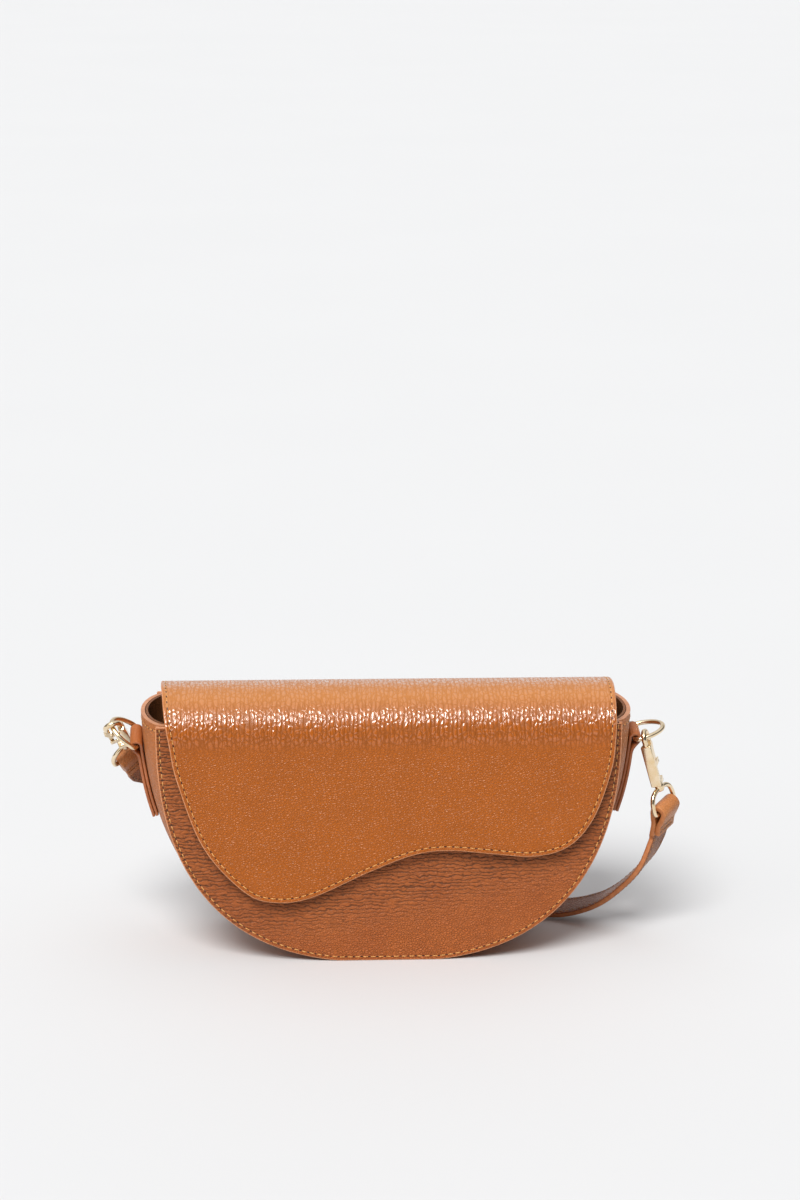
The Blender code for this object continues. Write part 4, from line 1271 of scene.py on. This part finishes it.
def make_tab(name, hang):
    """A leather tab whose loop is twisted, so that the ring's bar tilts in it."""
    path = [Vector((p.x, 0, p.y)) for p in tab_path()]
    section, edges = band_section(tab_width, tab_leather, tab_corner)
    twist = math.radians(hang["tilt"])
    rings = []
    for ring in band_rings(path, [Vector((0, 1, 0))] * len(path), section):
        row = []
        for p in ring:
            angle = twist * eased(p.z, tab_twist_start_height, tab_loop_height)
            rise = p.z - tab_loop_height
            row.append(Vector((hang["side"] * p.x,
                               body_shift + p.y * math.cos(angle) - rise * math.sin(angle),
                               tab_loop_height + p.y * math.sin(angle) + rise * math.cos(angle))))
        rings.append(row)
    tab = band_piece(name + "_leather", rings, edges, [trim_look, tab_shaded_edge_look])
    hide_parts(name)


def d_shape(half_bar, reach, corner, bow_power):
    """A closed D from its straight bar round the bow, as reach from the bar and place along it."""
    start = []
    for angle in spaced(0, math.pi / 2, d_corner_steps)[:-1]:
        start.append((corner * (1 - math.cos(angle)),
                      half_bar - corner + corner * math.sin(angle)))
    bow = []
    for angle in spaced(math.pi / 2, -math.pi / 2, d_bow_steps):
        away = max(math.cos(angle), 0) ** bow_power
        along = math.copysign(abs(math.sin(angle)) ** bow_power, math.sin(angle))
        bow.append((corner + (reach - corner) * away, half_bar * along))
    return start + bow + [(away, -along) for away, along in start[::-1]]


def ring_axes(hang):
    """The middle of a ring's bar, the direction of its bow and that of its bar."""
    centre = tab_centre()
    tilt = math.radians(hang["tilt"])
    lift = math.radians(hang["lift"])
    bar = Vector((0, math.cos(tilt), math.sin(tilt)))
    up = Vector((0, -math.sin(tilt), math.cos(tilt)))
    out = Vector((hang["side"], 0, 0)) * math.cos(lift) + up * math.sin(lift)
    return Vector((hang["side"] * centre.x, body_shift, centre.y)), out, bar


def clasp_axes(hang):
    """The clasp's foot, hung on the ring's bow, and its gate, side and upward directions."""
    origin, out, bar = ring_axes(hang)
    angle = math.radians(hang["bow_angle"])
    bow = ring_reach - ring_corner
    held = (origin + out * (ring_corner + bow * math.cos(angle))
            + bar * (ring_half_bar * math.sin(angle)))
    along = (bar * (ring_half_bar * math.cos(angle)) - out * (bow * math.sin(angle))).normalized()
    up = -Vector(hang["down"]).normalized()
    square = up.cross(along).normalized() * hang["gate_side"]
    gate = Matrix.Rotation(math.radians(hang["turn"]), 3, up) @ square
    side = up.cross(gate)
    lean = math.sqrt(1 - along.dot(gate) ** 2) / abs(along.dot(side))
    below_top = (hook_wire_radius + ring_wire_radius + ring_play) * lean
    return held - up * (hook_height + hook_radius - below_top), gate, side, up


def make_ring(name, hang):
    """A D-ring of round wire."""
    origin, out, bar = ring_axes(hang)
    points = [origin + out * reach + bar * along for reach, along in
              d_shape(ring_half_bar, ring_reach, ring_corner, 1.0)]
    maker = bmesh.new()
    add_wire(maker, points, out.cross(bar).normalized(), ring_wire_radius, closed=True)
    ring = piece_from(name + "_wire", maker, [gold_look], "ring_" + name.rsplit("_", 1)[1])
    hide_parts(name)


def swivel_place(hang):
    """The swivel's placement: its bar along X and the clasp upwards along Z."""
    origin, _, _, up = clasp_axes(hang)
    bar = across(hang["bar"], up)
    return frame_matrix(origin, bar, up.cross(bar), up)


def rectangle(left, right, low, high):
    return [(left, low), (right, low), (right, high), (left, high)]


def rounded_block(maker, place, outline, near, far, edge):
    """A bevelled block from an outline in the clasp's plane."""
    part = bmesh.new()
    add_loft(part, [[place @ Vector((u, depth, w)) for u, w in outline] for depth in (near, far)])
    bmesh.ops.recalc_face_normals(part, faces=part.faces)
    bmesh.ops.bevel(part, geom=part.edges[:], offset=edge, offset_type="OFFSET", segments=3,
                    profile=0.5, affect="EDGES", material=-1, clamp_overlap=True)
    mesh = mesh_from("block", part)
    maker.from_mesh(mesh)
    bpy.data.meshes.remove(mesh)


def make_clasp(side_name, hang):
    """The hook, from bar, foot, ears and arch, and the swivel, from boss and eye."""
    origin, gate_way, side_way, up = clasp_axes(hang)
    place = frame_matrix(origin, gate_way, side_way, up)
    maker = bmesh.new()
    near = -hook_radius - bar_depth / 2
    far = near + bar_depth
    rounded_block(maker, place, rectangle(near, far, 0, bar_height),
                  -bar_half_width, bar_half_width, block_rounding)
    rounded_block(maker, place, rectangle(near + foot_set_back, foot_reach, 0, foot_height),
                  -bar_half_width, bar_half_width, block_rounding)
    ear = rectangle(far - ear_overlap, hook_radius + ear_half_height,
                    gate_pivot_height - ear_half_height, gate_pivot_height + ear_half_height)
    low, high = gate_half_width + fit_gap, bar_half_width - ear_side_gap
    rounded_block(maker, place, ear, -high, -low, ear_rounding)
    rounded_block(maker, place, ear, low, high, ear_rounding)
    arch = [Vector((-hook_radius, 0, hook_root_height)), Vector((-hook_radius, 0, bar_height))]
    for angle in spaced(math.pi, 0, arch_steps):
        arch.append(Vector((hook_radius * math.cos(angle), 0,
                            hook_height + hook_radius * math.sin(angle))))
    arch.append(Vector((hook_radius, 0, hook_height - hook_tip_drop + tip_length)))
    arch.append(Vector((hook_radius, 0, hook_height - hook_tip_drop)))
    taper = [1.0] * (len(arch) - 1) + [tip_share]
    add_wire(maker, [place @ p for p in arch], side_way, hook_wire_radius, taper=taper)
    hook = piece_from("hook_" + side_name + "_metal", maker, [gold_look], "hook_body_" + side_name,
                      sharp=50)
    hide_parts("hook_" + side_name)

    place = swivel_place(hang)
    maker = bmesh.new()
    rings = [[place @ Vector((boss_radius * share * u, boss_radius * share * v, height))
              for u, v in circle(boss_sides)] for share, height in boss_profile]
    add_loft(maker, rings)
    eye = [place @ Vector((along, 0, reach - eye_drop)) for reach, along in
           d_shape(eye_half_bar, eye_reach, eye_corner, eye_bow_power)]
    add_wire(maker, eye, place.col[1].to_3d().normalized(), eye_wire_radius, closed=True)
    swivel = piece_from("swivel_" + side_name + "_metal", maker, [gold_look],
                        "swivel_body_" + side_name, sharp=50)
    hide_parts("swivel_" + side_name)
    return [hook, swivel]


clasp_pieces = []
for side_name, hang in zip(side_names, (right_hang, left_hang)):
    make_tab("tab_" + side_name, hang)
    make_ring("d_ring_" + side_name, hang)
    clasp_pieces += make_clasp(side_name, hang)

# %% [markdown]
# The strap is one long band whose ends are folded round the eyes of the clasps and sewn. It could
# be a curve with a bevel, but a band lofted along its path keeps its flat section upright through
# the coil, and its cut edges can have their own paint.

# %% Strap
neck_reach = 2.4
loop_entry = (1.15, 0.80)
end_curve_steps = 8
end_seam_backs = (2.2 * mm, 5.2 * mm)
end_seam_share = 0.8
end_seam_steps = 8
end_seam_pitch = 3.0 * mm
end_stitch_length = 2.2 * mm
coil_steps_per_turn = 72
route_curve_steps = 12
route_spacing = 2.5 * mm
strap_seam_inset = 1.9 * mm
strap_seam_pitch = 3.4 * mm
strap_stitch_length = 2.4 * mm
strap_thread_radius = 0.20 * mm
strap_section, strap_edges = band_section(strap_width, strap_thickness, strap_corner)


def strap_end_axes(hang):
    """The middle of the eye's bar, the strap's upward direction, its tail side and its width."""
    place = swivel_place(hang)
    width = place.col[0].to_3d().normalized()
    up = -across(hang["strap"], width)
    tail = up.cross(width) * hang["tail_side"]
    return place @ Vector((0, 0, -eye_drop)), up, tail, width


def make_strap_end(name, hang):
    """The strap's end folded round the eye, sewn to itself by two short rows on each face."""
    centre, up, tail, width = strap_end_axes(hang)
    r = eye_wire_radius + strap_loop_clearance + strap_thickness / 2
    half = (strap_thickness + fit_gap) / 2
    entry_reach, entry_half = [share * r for share in loop_entry]
    side = [(-strap_loop_length, -half), (-neck_reach * r, -half), (-entry_reach, -entry_half)]
    arc = [(r * math.sin(angle), -r * math.cos(angle)) for angle in spaced(0, math.pi, loop_steps)]
    back_side = [(-entry_reach, entry_half), (-neck_reach * r, half), (-strap_tail_length, half)]
    flat = smooth_through([Vector(point) for point in side + arc + back_side], end_curve_steps)
    path = [centre + up * point.x + tail * point.y for point in flat]
    end = band_piece(name + "_leather", band_rings(path, [width] * len(path), strap_section),
                     strap_edges, [strap_end_lit_look, strap_edge_look])
    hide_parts(name)
    maker = bmesh.new()
    face = half + strap_thickness / 2
    half_row = strap_width * end_seam_share / 2
    for back in end_seam_backs:
        for sign in (1, -1):
            start = centre + up * (back - strap_tail_length) + tail * (sign * face)
            row = [start + width * offset for offset in spaced(-half_row, half_row, end_seam_steps)]
            add_stitches(maker, row, [tail * sign] * len(row), pitch=end_seam_pitch,
                         length=end_stitch_length)
    sewn = piece_from(name + "_stitching", maker, [strap_thread_look, hole_shade_look], "bag")
    start = centre - up * (strap_loop_length + fit_gap / 2) - tail * half
    return start, -up, width, [end, sewn]


def coil_rows():
    """The coil's places and width directions: a spiral inwards that rises at its end."""
    rows = []
    low = strap_width / 2 + fit_gap
    for i in range(round(coil_turns * coil_steps_per_turn) + 1):
        turn = i / coil_steps_per_turn
        angle = -math.pi / 2 - 2 * math.pi * turn
        radius = coil_radius - coil_spacing * turn
        rise = (coil_exit_height - low) * eased(turn, coil_turns - coil_rise_turns, coil_turns)
        rows.append((Vector((coil_centre_x + radius * math.cos(angle),
                             coil_centre_y + radius * math.sin(angle), low + rise)),
                     Vector((0, 0, 1))))
    return rows


def even_rows(rows, spacing):
    """Places and width directions at an even spacing along a smooth route."""
    points = smooth_through([row[0] for row in rows], route_curve_steps)
    widths = smooth_through([row[1] for row in rows], route_curve_steps)
    return [(points[at].lerp(points[at + 1], share), widths[at].lerp(widths[at + 1], share))
            for at, share in even_places(path_lengths(points), spacing)]


right_start, right_way, right_width, right_pieces = make_strap_end("strap_end_right", right_hang)
left_start, left_way, left_width, left_pieces = make_strap_end("strap_end_left", left_hang)
coil = coil_rows()
run_right = [(right_start + right_way * (fit_gap / 2), right_width),
             (right_start + right_way * strap_guide_length, right_width)]
run_right += right_route + [coil[0]]
run_left = [coil[-1]] + left_route
run_left += [(left_start + left_way * strap_guide_length, left_width),
             (left_start + left_way * (fit_gap / 2), left_width)]
rows = even_rows(run_right, route_spacing)[:-1] + coil + even_rows(run_left, route_spacing)[1:]
strap_path = [row[0] for row in rows]
strap_widths = [row[1] for row in rows]
strap_length = path_lengths(strap_path)[-1]

strap_rings = band_rings(strap_path, strap_widths, strap_section, (right_way, -left_way))
strap = band_piece("strap_band", strap_rings, strap_edges, [strap_shaded_look, strap_edge_look])
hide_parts("strap_run_right", "strap_coil", "strap_run_left")

maker = bmesh.new()
frames = path_frames(strap_path, strap_widths)
for edge in (-1, 1):
    for face in (-1, 1):
        points = [p + side * (edge * (strap_width / 2 - strap_seam_inset))
                  + up * (face * strap_thickness / 2) for p, side, up in frames]
        add_stitches(maker, points, [up * face for _, _, up in frames], pitch=strap_seam_pitch,
                     length=strap_stitch_length, radius=strap_thread_radius)
strap_seams = piece_from("strap_stitching", maker, [strap_thread_look, hole_shade_look], "bag")
tuple(right_start)
[tuple(p) for p in strap_path]
print("strap length in metres", round(strap_length, 4))

# %% [markdown]
# Linings, pocket, board, snap, gates, pins and springs look right as plain solids. They keep their
# own shape and only get the right material.

# %% Materials of the solids that stay
staying = (
    (inside_look, ["rim_facing"]),
    (lining_look, ["front_lining", "back_lining", "gusset_lining", "slip_pocket"]),
    (board_look, ["front_stiffener"]),
    (gold_look, ["snap_socket", "snap_socket_washer", "snap_stud", "snap_stud_washer"]),
    (gold_look, [key + "_" + s for s in side_names for key in gate_nodes]),
)
for look, names in staying:
    for name in names:
        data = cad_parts[name].data
        for i in range(len(data.materials)):
            data.materials[i] = look
        if not data.materials:
            data.materials.append(look)

# %% [markdown]
# A plain pale floor and soft studio light: a dim room with a bright backdrop and ceiling, a wide
# softbox high in front for the glint on the flap's roll, and a weak low one on the left.

# %% Floor and light
floor_half = 30
room_shade = (0.12, 0.12, 0.12, 1)
backdrop_white = (0.98, 0.99, 1.01, 1)
room_strength = 0.8

maker = bmesh.new()
bmesh.ops.create_grid(maker, x_segments=1, y_segments=1, size=floor_half)
floor = added("floor", mesh_from("floor", maker))
floor_look, tree, shader, place = new_look("pale_floor")
speckle = node(tree, "TexNoise", {"Vector": place, "Scale": 3.0, "Detail": 2.0}).outputs["Fac"]
tone = node(tree, "ValToRGB", {"Fac": speckle},
            ramp=((0.0, colour("D4D4D4")), (1.0, colour("D6D6D6"))))
connect(tree, shader, {"Base Color": tone.outputs["Color"], "Roughness": 0.75})
floor.data.materials.append(floor_look)
floor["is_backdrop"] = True

world = bpy.data.worlds.new("studio")
bpy.context.scene.world = world
world.use_nodes = True
tree = world.node_tree
sky = node(tree, "SeparateXYZ", {"Vector": node(tree, "TexCoord", {}).outputs["Generated"]})
backdrop = band(tree, sky.outputs["Y"], 0.3, 0.92)
ceiling = band(tree, sky.outputs["Z"], 0.45, 0.85)
bright = node(tree, "Math", {0: backdrop, 1: ceiling}, operation="MAXIMUM").outputs[0]
glow = node(tree, "ValToRGB", {"Fac": bright}, ramp=((0.0, room_shade), (1.0, backdrop_white)))
connect(tree, tree.nodes["Background"], {"Color": glow.outputs["Color"], "Strength": room_strength})


def far_softbox(name, azimuth, elevation, spread, strength):
    """A wide lamp so far away that it lights the whole floor evenly, its angles in degrees."""
    data = bpy.data.lights.new(name, "SUN")
    data.energy = strength
    data.angle = math.radians(spread)
    lamp = added(name, data)
    a = math.radians(azimuth)
    e = math.radians(elevation)
    towards = Vector((math.sin(a) * math.cos(e), math.cos(a) * math.cos(e), -math.sin(e)))
    lamp.rotation_mode = "QUATERNION"
    lamp.rotation_quaternion = towards.to_track_quat("-Z", "Y")


far_softbox("high_softbox", azimuth=16, elevation=48, spread=27, strength=3.2)
far_softbox("left_softbox", azimuth=50, elevation=28, spread=50, strength=0.45)

# %% [markdown]
# Keep both boxes, so that the dressed bag can be compared with its solids.

# %% Finish
low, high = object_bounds()
{"cad": [list(cad_low), list(cad_high)], "visual": [list(low), list(high)]}
